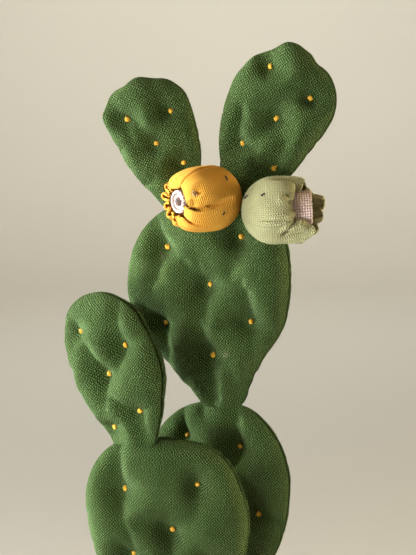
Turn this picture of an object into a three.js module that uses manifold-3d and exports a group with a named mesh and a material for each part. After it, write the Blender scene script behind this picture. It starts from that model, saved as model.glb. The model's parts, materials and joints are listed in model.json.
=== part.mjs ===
// A potted paddle cactus sewn from cloth: six stuffed pads of green cloth, tufted with knots of thread, two
// stuffed cloth fruits with a rolled strip in each, and a plain clay pot that a plaster plug and pebbles weigh
// down. Wooden rods run up through the pads and hold them on one another.
//
// Millimetres, +Z up. The origin is the middle of the pot's underside, and the front of the plant faces -Y.
import * as THREE from "three";
import { mergeVertices } from "three/addons/utils/BufferGeometryUtils.js";
import Module from "manifold-3d";

const wasm = await Module();
wasm.setup();

// ---- Driving dimensions -------------------------------------------------------------------------------------

const GAP = 0.3; // clearance between pieces that rest on, or sit in, one another

const POT = { height: 110, rimRadius: 64, rimBand: 25, bandStep: 6, baseRadius: 45, wall: 7, floor: 9, edge: 2 };
const FILL = {
  plasterTop: 80, pebbleTop: 101, pebbleSize: 8.5, pebbleReach: 0.62, pebbleStray: 0.22,
  pebbleRelief: 2.6, rings: 12,
};
const POT_SIDES = 40;

// Each pad has its foot in the part's frame, and its own frame there: u across, v up the pad, w out of its
// front. yaw turns its front from -Y towards +X, and tilt tips its top towards +u. half is half its thickness
// where it is fullest. outline runs clockwise from the left of the foot, and tufts are where a knotted stitch
// pulls it in.
const PADS = {
  back_lower_pad: {
    foot: [12.9, 15, 94.5], yaw: -7, tilt: 0, half: 14,
    outline: [[-13.8, -1], [-27, 10], [-40, 26], [-48.2, 47], [-50.6, 66.5], [-49.8, 86.5], [-45.5, 103.5],
      [-36.3, 117.5], [-22, 126.5], [-4, 130], [13, 126.5], [25, 116.5], [33.4, 103.5], [37.4, 88.5],
      [36.7, 73.5], [34.5, 58.5], [31, 46], [23.3, 27], [14, 6]],
    tufts: [[-24.7, 108.2], [7.8, 105], [19.1, 66.5], [-26.2, 70.4], [-4.2, 42.4]],
  },
  front_lower_pad: {
    foot: [-7.2, -17, 93], yaw: 7, tilt: 0, half: 15,
    outline: [[-13, 0], [-26, 11], [-39, 28], [-48, 50], [-52.4, 69], [-52.5, 87], [-47, 102], [-36.2, 113],
      [-17, 118], [2.6, 116.6], [15, 113.8], [27.6, 104.6], [35, 90.3], [39.3, 75], [38.4, 59], [34.5, 42],
      [26, 22], [14, 3]],
    tufts: [[-30.1, 88.4], [10.5, 92.6], [-3.3, 65.9], [-25.6, 50.7], [20.2, 47.3], [-3.8, 29.3]],
  },
  middle_pad: {
    foot: [11.4, 12.5, 221.5], yaw: -3, tilt: -3, half: 15.5,
    outline: [[-10.8, -0.5], [-21.6, 10.5], [-36, 28], [-50, 46], [-54.7, 64], [-53.5, 80], [-48.3, 94],
      [-38.5, 107], [-24, 116], [-0.5, 119], [22.5, 114], [37.7, 100], [42, 83], [41.4, 66.5], [37, 48],
      [28, 33.5], [18.5, 16], [10.3, 1.5]],
    tufts: [[-28.5, 92.5], [14.9, 98], [-4.2, 71.5], [-32, 49.4], [18.3, 50.4], [-4.7, 31.1]],
  },
  left_pad: {
    foot: [-32, -21.5, 203], yaw: -18, tilt: -13, half: 12,
    outline: [[-10.4, 0], [-15.6, 9], [-22.3, 20], [-28, 34], [-31, 45], [-33, 57], [-32.5, 70.5],
      [-26.8, 82.5], [-15.8, 89.5], [-2.6, 90.5], [9.3, 86.5], [20.6, 78], [25.6, 66], [30.6, 50],
      [30.6, 37.5], [27, 25.8], [22.3, 12.5], [13.4, -1]],
    tufts: [[-18.6, 69.9], [10.2, 59.1], [-4.6, 44.5], [11.2, 22.3], [-8.1, 14.9]],
  },
  top_left_pad: {
    foot: [-11.3, 13.5, 332.2], yaw: 9, tilt: -17, half: 10.5,
    outline: [[-8.3, 0], [-11.8, 7], [-17.8, 19], [-22.6, 30], [-25.6, 42], [-27.8, 53], [-29.6, 63.5],
      [-25.3, 69], [-20.8, 74], [-12.8, 76.8], [-5, 79], [3.2, 76.2], [11.2, 73], [15.2, 68.6],
      [18.2, 63.8], [19, 50], [18.8, 38], [16, 25.5], [12.6, 12], [8.3, -1]],
    tufts: [[-16.1, 58.8], [8.3, 56.1], [-4.4, 41.4], [6.7, 27]],
  },
  top_right_pad: {
    foot: [22, 15.5, 333], yaw: 0, tilt: 12, half: 11.5,
    outline: [[-8.4, -1.5], [-15.9, 8.7], [-20, 22.4], [-22.3, 36], [-24, 51], [-23.2, 62], [-21, 72],
      [-17.5, 78.2], [-14.3, 83.2], [-7.5, 88], [-0.8, 93], [1.5, 95.2], [8.1, 95.6], [13, 93.6],
      [17.6, 91.4], [20.5, 88.4], [25, 85.8], [28.6, 83.2], [32, 78.6], [34.2, 74], [35.4, 67],
      [35.4, 60], [33.4, 53], [30.4, 45], [22.3, 29.2], [15.1, 15.1], [8.7, 1]],
    tufts: [[-2.8, 80.4], [21.8, 69], [6.3, 54.4], [-8.9, 37.1], [10.4, 27.6]],
  },
};
const SEAM_STEPS = 32; // facets along a pad's seam
const FACE_STEPS = 18; // rows of facets from the middle of a pad's front to the middle of its back
const FULLNESS = 2.5; // exponent of the pad's section: 2 is an ellipse, and a larger one is fuller at the seam
const HEART = 0.56; // a pad is fullest at this share of its height
const FOOT_TAPER = { share: 0.56, length: 34 }; // a pad is this share of its thickness at the foot
const DIMPLE = { depth: 0.5, spread: 7.5 }; // a tuft pulls the cloth in by this share, over this radius
const KNOT = { radius: 1.7, sunk: 0.4 };

// A rod runs straight between two places in pads, or from a place in the plaster.
const RODS = {
  back_rod: { radius: 2.5, from: [12.6, 15, 40], to: { pad: "middle_pad", uv: [-1, 82] } },
  front_rod: { radius: 2.5, from: [-3, -14.5, 40], to: { pad: "left_pad", uv: [0, 38] } },
  left_pin: {
    radius: 1.5, from: { pad: "middle_pad", uv: [-22, 92] }, to: { pad: "top_left_pad", uv: [-1, 30] },
  },
  right_pin: {
    radius: 1.5, from: { pad: "middle_pad", uv: [8, 90] }, to: { pad: "top_right_pad", uv: [1, 36] },
  },
};
const ROD_SIDES = 10;

// A fruit lies on its side. Its round end is at the origin of its own frame, and its mouth opens along axis.
const FRUITS = {
  mustard_fruit: {
    middle: [6.1, -11.5, 343], axis: [-0.61, -0.78, -0.02], length: 40, radius: 17.8, lip: 11.5, mouth: 7.4,
    depth: 13, folds: 7, foldDepth: 0.09, flare: 0.05,
  },
  sage_fruit: {
    middle: [46.3, -6.5, 337.7], axis: [0.97, 0.22, 0.07], length: 40, radius: 17.2, lip: 12.5, mouth: 9.3,
    depth: 17, folds: 5, foldDepth: 0.1, flare: 0.08,
  },
};
const ROLLS = {
  mustard_roll: { fruit: "mustard_fruit", radius: 6.3, length: 13.5, edge: 1.2 },
  sage_roll: { fruit: "sage_fruit", radius: 8.2, length: 19.5, edge: 1.4 },
};
const FRUIT_FORM = { belly: 0.42, roundSteps: 6, shoulderSteps: 5, lipRound: 1.5, sides: 30 };
const ROLL_SIDES = 20;

const FINISH = {
  green_cloth: { color: 0x3c5f35, roughness: 0.95, metalness: 0 },
  mustard_cloth: { color: 0xc8912f, roughness: 0.9, metalness: 0 },
  sage_cloth: { color: 0xb9b77c, roughness: 0.9, metalness: 0 },
  pink_cloth: { color: 0xc9a99c, roughness: 0.85, metalness: 0 },
  clay: { color: 0xb4694a, roughness: 0.85, metalness: 0 },
  plaster: { color: 0xe4dfd5, roughness: 0.9, metalness: 0 },
  pebble: { color: 0xb9ab95, roughness: 0.8, metalness: 0 },
  wood: { color: 0xc9a474, roughness: 0.7, metalness: 0 },
};

// ---- Solids -------------------------------------------------------------------------------------------------

// A closed geometry as a solid that can be cut and joined.
function solidOf(geometry) {
  const bare = geometry.clone();
  bare.deleteAttribute("normal");
  bare.deleteAttribute("uv");
  const merged = mergeVertices(bare, 1e-4);
  return new wasm.Manifold(
    new wasm.Mesh({
      numProp: 3,
      vertProperties: merged.attributes.position.array,
      triVerts: new Uint32Array(merged.index.array),
    }),
  );
}

// A solid as a geometry.
function geometryOf(solid) {
  const { vertProperties, triVerts } = solid.getMesh();
  const geometry = new THREE.BufferGeometry();
  geometry.setAttribute("position", new THREE.BufferAttribute(vertProperties, 3));
  geometry.setIndex(new THREE.BufferAttribute(triVerts, 1));
  geometry.computeVertexNormals();
  return geometry;
}

const cut = (solid, ...tools) => tools.reduce((left, tool) => left.subtract(tool), solid);

const smooth = (x) => THREE.MathUtils.smoothstep(x, 0, 1);

// ---- Pads ---------------------------------------------------------------------------------------------------

function padFrame({ foot, yaw, tilt }) {
  const facing = new THREE.Matrix4().makeRotationZ(THREE.MathUtils.degToRad(yaw));
  const standing = new THREE.Matrix4().makeRotationX(Math.PI / 2);
  const tipped = new THREE.Matrix4().makeRotationZ(THREE.MathUtils.degToRad(-tilt));
  return facing.multiply(standing).multiply(tipped).setPosition(...foot);
}

const placeIn = ({ pad, uv }) => new THREE.Vector3(uv[0], uv[1], 0).applyMatrix4(padFrame(PADS[pad]));

function outlineCurve({ outline }) {
  return new THREE.CatmullRomCurve3(outline.map(([u, v]) => new THREE.Vector3(u, v, 0)), true, "centripetal");
}

function outlineMiddle({ outline }) {
  const { min, max } = new THREE.Box2().setFromPoints(outline.map(([u, v]) => new THREE.Vector2(u, v)));
  return new THREE.Vector3((min.x + max.x) / 2, THREE.MathUtils.lerp(min.y, max.y, HEART), 0);
}

// How far the pad's front stands from its middle plane at (u, v), where `rise` is 1 at the middle and 0 at the
// seam.
function fronting(pad, u, v, rise) {
  const taper = FOOT_TAPER.share + (1 - FOOT_TAPER.share) * smooth(v / FOOT_TAPER.length);
  const pull = pad.tufts.reduce(
    (sum, [tu, tv]) => sum + Math.exp(-((u - tu) ** 2 + (v - tv) ** 2) / (2 * DIMPLE.spread ** 2)),
    0,
  );
  return pad.half * taper * rise * (1 - DIMPLE.depth * Math.min(pull, 1));
}

// The stuffed cover: a sphere pressed flat, with its poles in the middle of each face and its equator along the
// seam. `grow` makes it larger all round, to cut the clearance that a neighbour needs.
function padCover(pad, grow = 0) {
  const geometry = new THREE.SphereGeometry(1, SEAM_STEPS, FACE_STEPS);
  const curve = outlineCurve(pad);
  const middle = outlineMiddle(pad);
  const positions = geometry.attributes.position;
  const at = new THREE.Vector3();
  for (let i = 0; i < positions.count; i++) {
    at.fromBufferAttribute(positions, i);
    const turn = (Math.atan2(at.z, at.x) / (2 * Math.PI) + 1) % 1;
    const out = Math.min(Math.hypot(at.x, at.z), 1);
    const rise = (1 - out ** FULLNESS) ** (1 / FULLNESS);
    const edge = curve.getPointAt(turn).sub(middle);
    edge.setLength(edge.length() + grow);
    const u = middle.x + edge.x * out;
    const v = middle.y + edge.y * out;
    positions.setXYZ(i, u, v, Math.sign(at.y) * (fronting(pad, u, v, rise) + grow * rise));
  }
  return solidOf(geometry.applyMatrix4(padFrame(pad)));
}

// The knots, one on each face at each tuft, where the cloth's own surface is.
function knots(pad, cover) {
  const frame = padFrame(pad);
  const cloth = new THREE.Mesh(geometryOf(cover), new THREE.MeshBasicMaterial({ side: THREE.DoubleSide }));
  const normal = new THREE.Vector3().setFromMatrixColumn(frame, 2);
  return pad.tufts.flatMap(([u, v]) =>
    [1, -1].map((side) => {
      const far = new THREE.Vector3(u, v, side * 2 * pad.half).applyMatrix4(frame);
      const inward = normal.clone().multiplyScalar(-side);
      const [hit] = new THREE.Raycaster(far, inward).intersectObject(cloth);
      const seat = hit.point.addScaledVector(inward, KNOT.sunk);
      const knot = new THREE.IcosahedronGeometry(KNOT.radius, 0).translate(...seat);
      return solidOf(knot);
    }),
  );
}

// ---- Rods ---------------------------------------------------------------------------------------------------

function rod({ radius, from, to }, grow = 0) {
  const start = Array.isArray(from) ? new THREE.Vector3(...from) : placeIn(from);
  const along = placeIn(to).sub(start);
  const length = along.length() + 2 * grow;
  const geometry = new THREE.CylinderGeometry(radius + grow, radius + grow, length, ROD_SIDES);
  geometry.applyQuaternion(
    new THREE.Quaternion().setFromUnitVectors(new THREE.Vector3(0, 1, 0), along.clone().normalize()),
  );
  const middle = start.addScaledVector(along, 0.5);
  return solidOf(geometry.translate(...middle));
}

// ---- Fruits -------------------------------------------------------------------------------------------------

function fruitFrame({ middle, axis, length }) {
  const along = new THREE.Vector3(...axis).normalize();
  const turn = new THREE.Quaternion().setFromUnitVectors(new THREE.Vector3(0, 1, 0), along);
  const end = new THREE.Vector3(...middle).addScaledVector(along, -length / 2);
  return new THREE.Matrix4().compose(end, turn, new THREE.Vector3(1, 1, 1));
}

// The cover turned about its axis, from the round end, over the shoulder to the lip, and down into the mouth.
function fruitCover(fruit) {
  const { length, radius, lip, mouth, depth, folds, foldDepth, flare } = fruit;
  const { roundSteps, shoulderSteps, lipRound, sides } = FRUIT_FORM;
  const belly = length * FRUIT_FORM.belly;
  const profile = [new THREE.Vector2(0, 0)];
  for (let i = 1; i <= roundSteps; i++) {
    const turn = (i / roundSteps) * (Math.PI / 2);
    profile.push(new THREE.Vector2(radius * Math.sin(turn), belly * (1 - Math.cos(turn))));
  }
  for (let i = 1; i <= shoulderSteps; i++) {
    const rise = i / shoulderSteps;
    const narrowing = Math.cos((rise * Math.PI) / 2);
    const reach = belly + (length - lipRound - belly) * rise;
    profile.push(new THREE.Vector2(lip + (radius - lip) * narrowing, reach));
  }
  profile.push(new THREE.Vector2((lip + mouth) / 2, length));
  profile.push(new THREE.Vector2(mouth, length - lipRound));
  profile.push(new THREE.Vector2(mouth, length - depth));
  profile.push(new THREE.Vector2(0, length - depth));
  const geometry = new THREE.LatheGeometry(profile, sides);
  const positions = geometry.attributes.position;
  const at = new THREE.Vector3();
  for (let i = 0; i < positions.count; i++) {
    at.fromBufferAttribute(positions, i);
    const gather = smooth((at.y - belly) / (length - belly));
    const outside = smooth((Math.hypot(at.x, at.z) - mouth) / lipRound);
    const wave = gather * outside * Math.cos(folds * Math.atan2(at.z, at.x));
    const spread = 1 + foldDepth * wave;
    positions.setXYZ(i, at.x * spread, at.y + flare * length * wave, at.z * spread);
  }
  return solidOf(geometry.applyMatrix4(fruitFrame(fruit)));
}

function roll({ fruit, radius, length, edge }) {
  const holder = FRUITS[fruit];
  const floor = holder.length - holder.depth + GAP;
  const profile = [[0, 0], [radius, 0], [radius, length - edge], [radius - edge, length], [0, length]];
  const geometry = new THREE.LatheGeometry(profile.map(([r, y]) => new THREE.Vector2(r, y)), ROLL_SIDES);
  return solidOf(geometry.translate(0, floor, 0).applyMatrix4(fruitFrame(holder)));
}

// ---- Pot and filling ----------------------------------------------------------------------------------------

const innerRadius = (z) => THREE.MathUtils.lerp(POT.baseRadius, POT.rimRadius, z / POT.height) - POT.wall;

// A profile of [radius, height] pairs turned about Z.
const turned = (profile) =>
  new THREE.LatheGeometry(profile.map(([r, z]) => new THREE.Vector2(r, z)), POT_SIDES).rotateX(Math.PI / 2);

function pot() {
  const { height, rimRadius, rimBand, bandStep, baseRadius, floor, edge } = POT;
  const bandBottom = height - rimBand;
  return solidOf(turned([
    [0, 0], [baseRadius - edge, 0], [baseRadius, edge], [rimRadius - bandStep, bandBottom],
    [rimRadius - edge, bandBottom], [rimRadius, bandBottom + edge], [rimRadius, height - edge],
    [rimRadius - edge, height], [innerRadius(height) + edge, height], [innerRadius(height), height - edge],
    [innerRadius(floor), floor], [0, floor],
  ]));
}

function plasterPlug() {
  const bottom = POT.floor + GAP;
  const top = FILL.plasterTop;
  const room = 2 * GAP;
  return solidOf(turned([
    [0, bottom], [innerRadius(bottom) - room, bottom], [innerRadius(top) - room, top], [0, top],
  ]));
}

// How far the pebble nearest to (x, y) stands up there: domes of uneven height on an uneven grid.
function pebbleRise(x, y) {
  const { pebbleSize, pebbleRelief, pebbleReach, pebbleStray } = FILL;
  const column = Math.round(x / pebbleSize);
  const row = Math.round(y / pebbleSize);
  let highest = 0;
  for (let i = column - 2; i <= column + 2; i++) {
    for (let j = row - 2; j <= row + 2; j++) {
      const stray = pebbleStray * Math.sin(12.9 * i + 78.2 * j);
      const strayAcross = pebbleStray * Math.sin(39.3 * i + 11.1 * j);
      const offset = Math.hypot(x / pebbleSize - i - stray, y / pebbleSize - j - strayAcross) / pebbleReach;
      const height = 0.8 + 0.2 * Math.sin(5.3 * i + 9.7 * j);
      highest = Math.max(highest, height * Math.sqrt(Math.max(1 - offset ** 2, 0)));
    }
  }
  return highest * pebbleRelief;
}

function pebbleBed() {
  const bottom = FILL.plasterTop + GAP;
  const top = FILL.pebbleTop - FILL.pebbleRelief;
  const room = 2 * GAP;
  const outer = innerRadius(top) - room;
  const profile = [[0, bottom], [innerRadius(bottom) - room, bottom], [outer, top]];
  for (let ring = FILL.rings - 1; ring >= 0; ring--) profile.push([(outer * ring) / FILL.rings, top]);
  const geometry = turned(profile);
  const positions = geometry.attributes.position;
  for (let i = 0; i < positions.count; i++) {
    const [x, y, z] = [positions.getX(i), positions.getY(i), positions.getZ(i)];
    if (z > top - GAP && Math.hypot(x, y) < outer - GAP) positions.setZ(i, z + pebbleRise(x, y));
  }
  return solidOf(geometry);
}

// ---- The part -----------------------------------------------------------------------------------------------

const part = new THREE.Group();

function add(name, solid, finish) {
  const mesh = new THREE.Mesh(geometryOf(solid), new THREE.MeshStandardMaterial(FINISH[finish]));
  mesh.name = name;
  part.add(mesh);
}

// Each pad is sewn over the top edge of the pad that carries it, so its foot is hollowed to that edge.
const CARRIERS = {
  middle_pad: ["back_lower_pad"],
  left_pad: ["front_lower_pad"],
  top_left_pad: ["middle_pad"],
  top_right_pad: ["middle_pad"],
};
const ALL_PADS = Object.keys(PADS);

const rods = Object.fromEntries(Object.entries(RODS).map(([name, spec]) => [name, rod(spec)]));
const rodHoles = Object.values(RODS).map((spec) => rod(spec, GAP));
const padRooms = Object.fromEntries(ALL_PADS.map((name) => [name, padCover(PADS[name], GAP)]));

for (const name of ALL_PADS) {
  const cover = padCover(PADS[name]);
  const carriers = (CARRIERS[name] ?? []).map((carrier) => padRooms[carrier]);
  const knotted = knots(PADS[name], cover).reduce((joined, knot) => joined.add(knot), cover);
  add(name, cut(knotted, ...carriers, ...rodHoles), "green_cloth");
}

for (const [name, fruit] of Object.entries(FRUITS)) {
  const behind = ["middle_pad", "top_left_pad", "top_right_pad"].map((pad) => padRooms[pad]);
  add(name, cut(fruitCover(fruit), ...behind), name.replace("fruit", "cloth"));
}
for (const [name, spec] of Object.entries(ROLLS)) add(name, roll(spec), "pink_cloth");

for (const [name, solid] of Object.entries(rods)) add(name, solid, "wood");

add("pot", pot(), "clay");
add("plaster_plug", cut(plasterPlug(), ...rodHoles), "plaster");
add("pebble_bed", cut(pebbleBed(), padRooms.back_lower_pad, padRooms.front_lower_pad, ...rodHoles), "pebble");

export default part;
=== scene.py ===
"""A potted paddle cactus sewn from cloth: stuffed and tufted pads, gathered fruits, a clay pot and its pebbles."""

import json
import math
import random

import bmesh
import bpy
import numpy as np
from bpy.props import FloatProperty, FloatVectorProperty, IntProperty, PointerProperty
from mathutils import Matrix, Vector, geometry, noise
from mathutils.bvhtree import BVHTree

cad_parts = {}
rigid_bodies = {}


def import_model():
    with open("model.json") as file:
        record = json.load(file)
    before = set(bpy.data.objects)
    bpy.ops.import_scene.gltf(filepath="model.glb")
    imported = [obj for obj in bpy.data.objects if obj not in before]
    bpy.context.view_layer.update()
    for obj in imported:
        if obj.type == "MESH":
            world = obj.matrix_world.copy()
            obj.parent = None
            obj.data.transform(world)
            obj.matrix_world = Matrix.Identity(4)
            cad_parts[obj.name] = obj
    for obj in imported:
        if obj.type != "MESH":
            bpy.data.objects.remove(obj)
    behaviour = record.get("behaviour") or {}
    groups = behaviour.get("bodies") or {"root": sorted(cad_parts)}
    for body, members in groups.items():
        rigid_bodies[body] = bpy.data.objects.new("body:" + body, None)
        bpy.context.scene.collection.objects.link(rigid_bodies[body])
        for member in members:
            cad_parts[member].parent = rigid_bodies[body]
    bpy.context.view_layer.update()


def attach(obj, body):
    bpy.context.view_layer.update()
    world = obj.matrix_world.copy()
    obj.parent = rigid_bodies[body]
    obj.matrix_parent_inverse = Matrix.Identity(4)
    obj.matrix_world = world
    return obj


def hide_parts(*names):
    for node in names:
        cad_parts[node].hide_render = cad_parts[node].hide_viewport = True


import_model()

bl_info = {
    "name": "Potted Cloth Cactus",
    "version": (1, 0, 0),
    "blender": (4, 5, 0),
    "location": "3D View > Sidebar > Cloth Cactus",
    "description": "Sews the pads, gathers the fruits and fills the pot of a cloth paddle cactus",
    "category": "Add Mesh",
}

MM = 0.001
ROOT = "root"
SEED = 7

# ---- The pads -------------------------------------------------------------------------------------------------

# Each pad's foot stands in the plant's frame, and its outline and tufts in its own: across, then up, in millimetres.
# It faces -Y, turned by yaw towards +X, and its top tips by tilt towards its right. The stuffing bulges past the
# seam, which runs inside the outline by inset. A fold is a valley from one point to another (across, up,
# across, up), with its depth and its widths on the right hand and the left of whoever walks along it; a ridge has a
# negative depth.
PADS = {
    "back_lower_pad": dict(
        foot=(12.9, 15, 94.5), yaw=-7, tilt=0, half=14,
        outline=((-13.8, -1), (-27, 10), (-40, 26), (-48.2, 47), (-50.6, 66.5), (-49.8, 86.5), (-45.5, 103.5),
                 (-36.3, 117.5), (-22, 126.5), (-4, 130), (13, 126.5), (25, 116.5), (33.4, 103.5), (37.4, 88.5),
                 (36.7, 73.5), (34.5, 58.5), (31, 46), (23.3, 27), (14, 6)),
        inset=1.8,
        tufts=((-24.7, 108.2), (7.8, 105), (19.1, 66.5), (-26.2, 70.4), (-4.2, 42.4)),
        folds=(
            (-25.2, 119.4, -24.7, 106.4, 2.6, 3, 2), (-15.2, 127.4, -13.2, 119.4, 2, 2.5, 2.5),
            (5.3, 129.4, 6.8, 96.4, 3, 4, 2.6),
            (19.8, 65.9, 36.8, 62.4, 1.6, 3.5, 1.2), (16.8, 82.4, 18.8, 64.4, 3, 7, 4),
            (11.8, 118.4, 12.8, 100.4, -0.8, 2.5, 3),
        ),
    ),
    "front_lower_pad": dict(
        foot=(-7.2, -17, 93), yaw=7, tilt=0, half=15,
        outline=((-13, 0), (-26, 11), (-39, 28), (-48, 50), (-52.4, 69), (-52.5, 87), (-47, 102), (-36.2, 113),
                 (-17, 118), (2.6, 116.6), (15, 113.8), (27.6, 104.6), (35, 90.3), (39.3, 75), (38.4, 59),
                 (34.5, 42), (26, 22), (14, 3)),
        inset=1.8,
        tufts=((-30.1, 88.4), (10.5, 92.6), (-3.3, 65.9), (-25.6, 50.7), (20.2, 47.3), (-3.8, 29.3)),
        folds=(
            (-30.8, 112.3, -30.8, 88.3, 5, 8, 1.8), (-30.8, 88.3, -28.8, 76.3, 4.6, 7, 1.8),
            (-28.8, 76.3, -23.8, 60.3, 3, 4, 1.6),
            (-18.8, 74.3, -8.8, 71.8, 4, 7, 1.8), (-8.8, 71.8, -2.8, 66.8, 4.6, 7, 1.8),
            (-2.8, 66.3, -2.3, 50.3, 4.6, 8, 2.4),
            (-22.8, 88.3, 9.2, 92.3, 1, 3, 2.4), (11.2, 99.3, 11.7, 92.3, 2.6, 7, 2.6),
            (11.7, 92.3, 10.2, 78.3, 2.6, 7, 3),
            (-30.8, 58.3, -25.8, 48.3, 3, 4, 3), (13.2, 58.3, 19.2, 44.3, 2.6, 5, 4),
        ),
    ),
    "middle_pad": dict(
        foot=(11.4, 12.5, 221.5), yaw=-3, tilt=-3, half=15.5, carrier="back_lower_pad",
        outline=((-10.8, -0.5), (-21.6, 10.5), (-36, 28), (-50, 46), (-54.7, 64), (-53.5, 80), (-48.3, 94),
                 (-38.5, 107), (-24, 116), (-0.5, 119), (22.5, 114), (37.7, 100), (42, 83), (41.4, 66.5),
                 (37, 48), (28, 33.5), (18.5, 16), (10.3, 1.5)),
        inset=2.0,
        tufts=((-28.5, 92.5), (14.9, 98), (-4.2, 71.5), (-32, 49.4), (18.3, 50.4), (-4.7, 31.1)),
        folds=(
            (-32.2, 109, -28.2, 93, 4.8, 6, 2), (-28.2, 93, -31.2, 77, 3.6, 7, 3),
            (-41.2, 59, -32.2, 50, 4, 4, 3),
            (-32.2, 50, -27.2, 33, 4.6, 6, 2.2), (-15.2, 85, -5.2, 73, 2.8, 9, 3),
            (-5.2, 72, -3.7, 57, 4, 11, 2),
            (14.8, 109, 15.3, 95, 5, 6, 3), (15.3, 95, 9.8, 77, 3.4, 5, 4), (17.8, 67, 18.8, 51, 4.2, 12, 3.4),
            (18.8, 50, 19.8, 39, 3.4, 10, 4), (22.8, 47, 36.8, 41, 1.4, 3, 2),
            (-7.2, 49, -4.2, 31.9, 5, 6, 2.4),
            (-4.2, 31.9, -3.7, 8.9, 4.6, 6, 2.2), (-21.2, 36, -6.2, 31.9, 2.8, 5, 2.4),
            (7.8, 20.9, 7.8, 0.9, 2.6, 3, 3),
            (-21.2, 46, -19.2, 39, -1, 4, 4),
        ),
    ),
    "left_pad": dict(
        foot=(-32, -21.5, 203), yaw=-18, tilt=-13, half=12, carrier="front_lower_pad",
        outline=((-10.4, 0), (-15.6, 9), (-22.3, 20), (-28, 34), (-31, 45), (-33, 57), (-32.5, 70.5),
                 (-26.8, 82.5), (-15.8, 89.5), (-2.6, 90.5), (9.3, 86.5), (20.6, 78), (25.6, 66), (30.6, 50),
                 (30.6, 37.5), (27, 25.8), (22.3, 12.5), (13.4, -1)),
        inset=2.4,
        tufts=((-18.6, 69.9), (10.2, 59.1), (-4.6, 44.5), (11.2, 22.3), (-8.1, 14.9)),
        folds=(
            (10.7, 77.1, 9.7, 65.1, 3, 4, 2), (9.7, 65.1, 10.2, 59.1, 4, 6, 2),
            (10.2, 59.1, 8.7, 49.1, 3.6, 5, 2.2),
            (-10.3, 60.1, -4.8, 45.1, 3.4, 5, 2.6), (-4.8, 44.1, -4.8, 32.1, 3.8, 5, 2.2),
            (0.2, 32.1, 10.5, 23.1, 4, 4, 1.5),
            (11.6, 22.1, 12, 7.1, 4.2, 5, 2), (-19.3, 75.1, -18.6, 69.1, 1.8, 3, 2),
            (-18.3, 69.1, -20.3, 61.1, 1.6, 3, 2),
            (-9, 18.1, -8, 12.1, 1.4, 2.4, 2),
        ),
    ),
    "top_left_pad": dict(
        foot=(-11.3, 13.5, 332.2), yaw=9, tilt=-17, half=10.5, carrier="middle_pad",
        outline=((-8.3, 0), (-11.8, 7), (-17.8, 19), (-22.6, 30), (-25.6, 42), (-27.8, 53), (-29.6, 63.5),
                 (-25.3, 69),
                 (-20.8, 74), (-12.8, 76.8), (-5, 79), (3.2, 76.2), (11.2, 73), (15.2, 68.6), (18.2, 63.8),
                 (19, 50),
                 (18.8, 38), (16, 25.5), (12.6, 12), (8.3, -1)),
        inset=1.0,
        tufts=((-16.1, 58.8), (8.3, 56.1), (-4.4, 41.4), (6.7, 27)),
        folds=(
            (-21.4, 72.6, -16.9, 59.6, 3, 5, 1.8), (-16.4, 58.6, -15.4, 46.6, 2.6, 4, 1.8),
            (-10.4, 55.6, -4.9, 41.6, 3.2, 5, 2.4),
            (-4.4, 41.1, -5.4, 33.6, 1.6, 3, 2), (-22.4, 42.6, -5.4, 41.6, 1.6, 2, 3.5),
            (5.6, 66.6, 8.1, 55.6, 1.8, 6, 2.6),
            (8.6, 41.6, 7.1, 23.6, 2.8, 5, 4),
        ),
    ),
    "top_right_pad": dict(
        foot=(22, 15.5, 333), yaw=0, tilt=12, half=11.5, carrier="middle_pad",
        outline=((-8.4, -1.5), (-15.9, 8.7), (-20, 22.4), (-22.3, 36), (-24, 51), (-23.2, 62), (-21, 72),
                 (-17.5, 78.2), (-14.3, 83.2), (-7.5, 88), (-0.8, 93), (1.5, 95.2), (8.1, 95.6), (13, 93.6),
                 (17.6, 91.4), (20.5, 88.4), (25, 85.8), (28.6, 83.2), (32, 78.6), (34.2, 74), (35.4, 67),
                 (35.4, 60), (33.4, 53), (30.4, 45), (22.3, 29.2), (15.1, 15.1), (8.7, 1)),
        inset=1.2,
        tufts=((-2.8, 80.4), (21.8, 69), (6.3, 54.4), (-8.9, 37.1), (10.4, 27.6)),
        folds=(
            (-2.8, 94.4, -2.3, 80.4, 3.6, 4.5, 1.5), (26.7, 77.4, 22.2, 69.4, 2.6, 3, 4.5),
            (10.7, 67.4, 6.7, 55.4, 2, 5, 3.4),
            (5.7, 53.4, 1.7, 42.4, 1.5, 5, 3.4), (-10.3, 54.4, -10.8, 37.4, 4, 4, 1.8),
            (-10.8, 37.4, -16.3, 26.4, 3.4, 4, 2),
            (13.7, 44.4, 10.7, 27.4, 2.4, 4, 4), (22.7, 85.4, 24.7, 77.4, -0.7, 2.5, 2.5),
        ),
    ),
}
HEART = 0.56  # a pad is fullest at this share of its height
FULLNESS = 2.8  # exponent of a pad's section: 2 is an ellipse, and more is fuller at the seam
FOOT_SHARE, FOOT_LENGTH = 0.56, 34  # a pad's thickness at its foot, and how far up it grows to its full one
FOLD_PRESS = 1.22  # how much deeper than its own depth the stuffing lets a fold sink
FOLD_EDGE = 1.5  # exponent of a fold's section: 1 is a sharp crease, and 2 is a soft one
LUMPS = ((16, 0.8), (6, 0.3))  # the stuffing's unevenness: how broad, and how tall, in millimetres
SEAM_ROWS = (0.4, 1.0, 2.0)  # rows of points beside the seam, in millimetres
WELTS = (1.6, 0.6, 1.7)  # how far the front bulges past the seam on its left, on its right, and the back, in mm
WELT_RISE = 2.0  # how fast the stuffing rises from the seam, in millimetres
SEAM_SHADE_REACH = 0.32  # how far the painted shade in the seam's furrow reaches on each panel, in millimetres
PUCKERS = (7, 0.3)  # the gathers along the seam: how far apart, and how tall, in millimetres
WELT_EDGE, WELT_REACH = 0.45, 7  # where the bulge beside the seam starts and how far in it fades, in millimetres
PUCKER_REACH = 3  # how far in the gathers fade, in millimetres
FOLD_LIMIT = 0.6  # a fold presses in no more than this share of the pad's half thickness
FOOT_CALM, FOOT_SET = 8, 16  # folds end and a foot rests on the pad below it up to these heights, in millimetres
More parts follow.
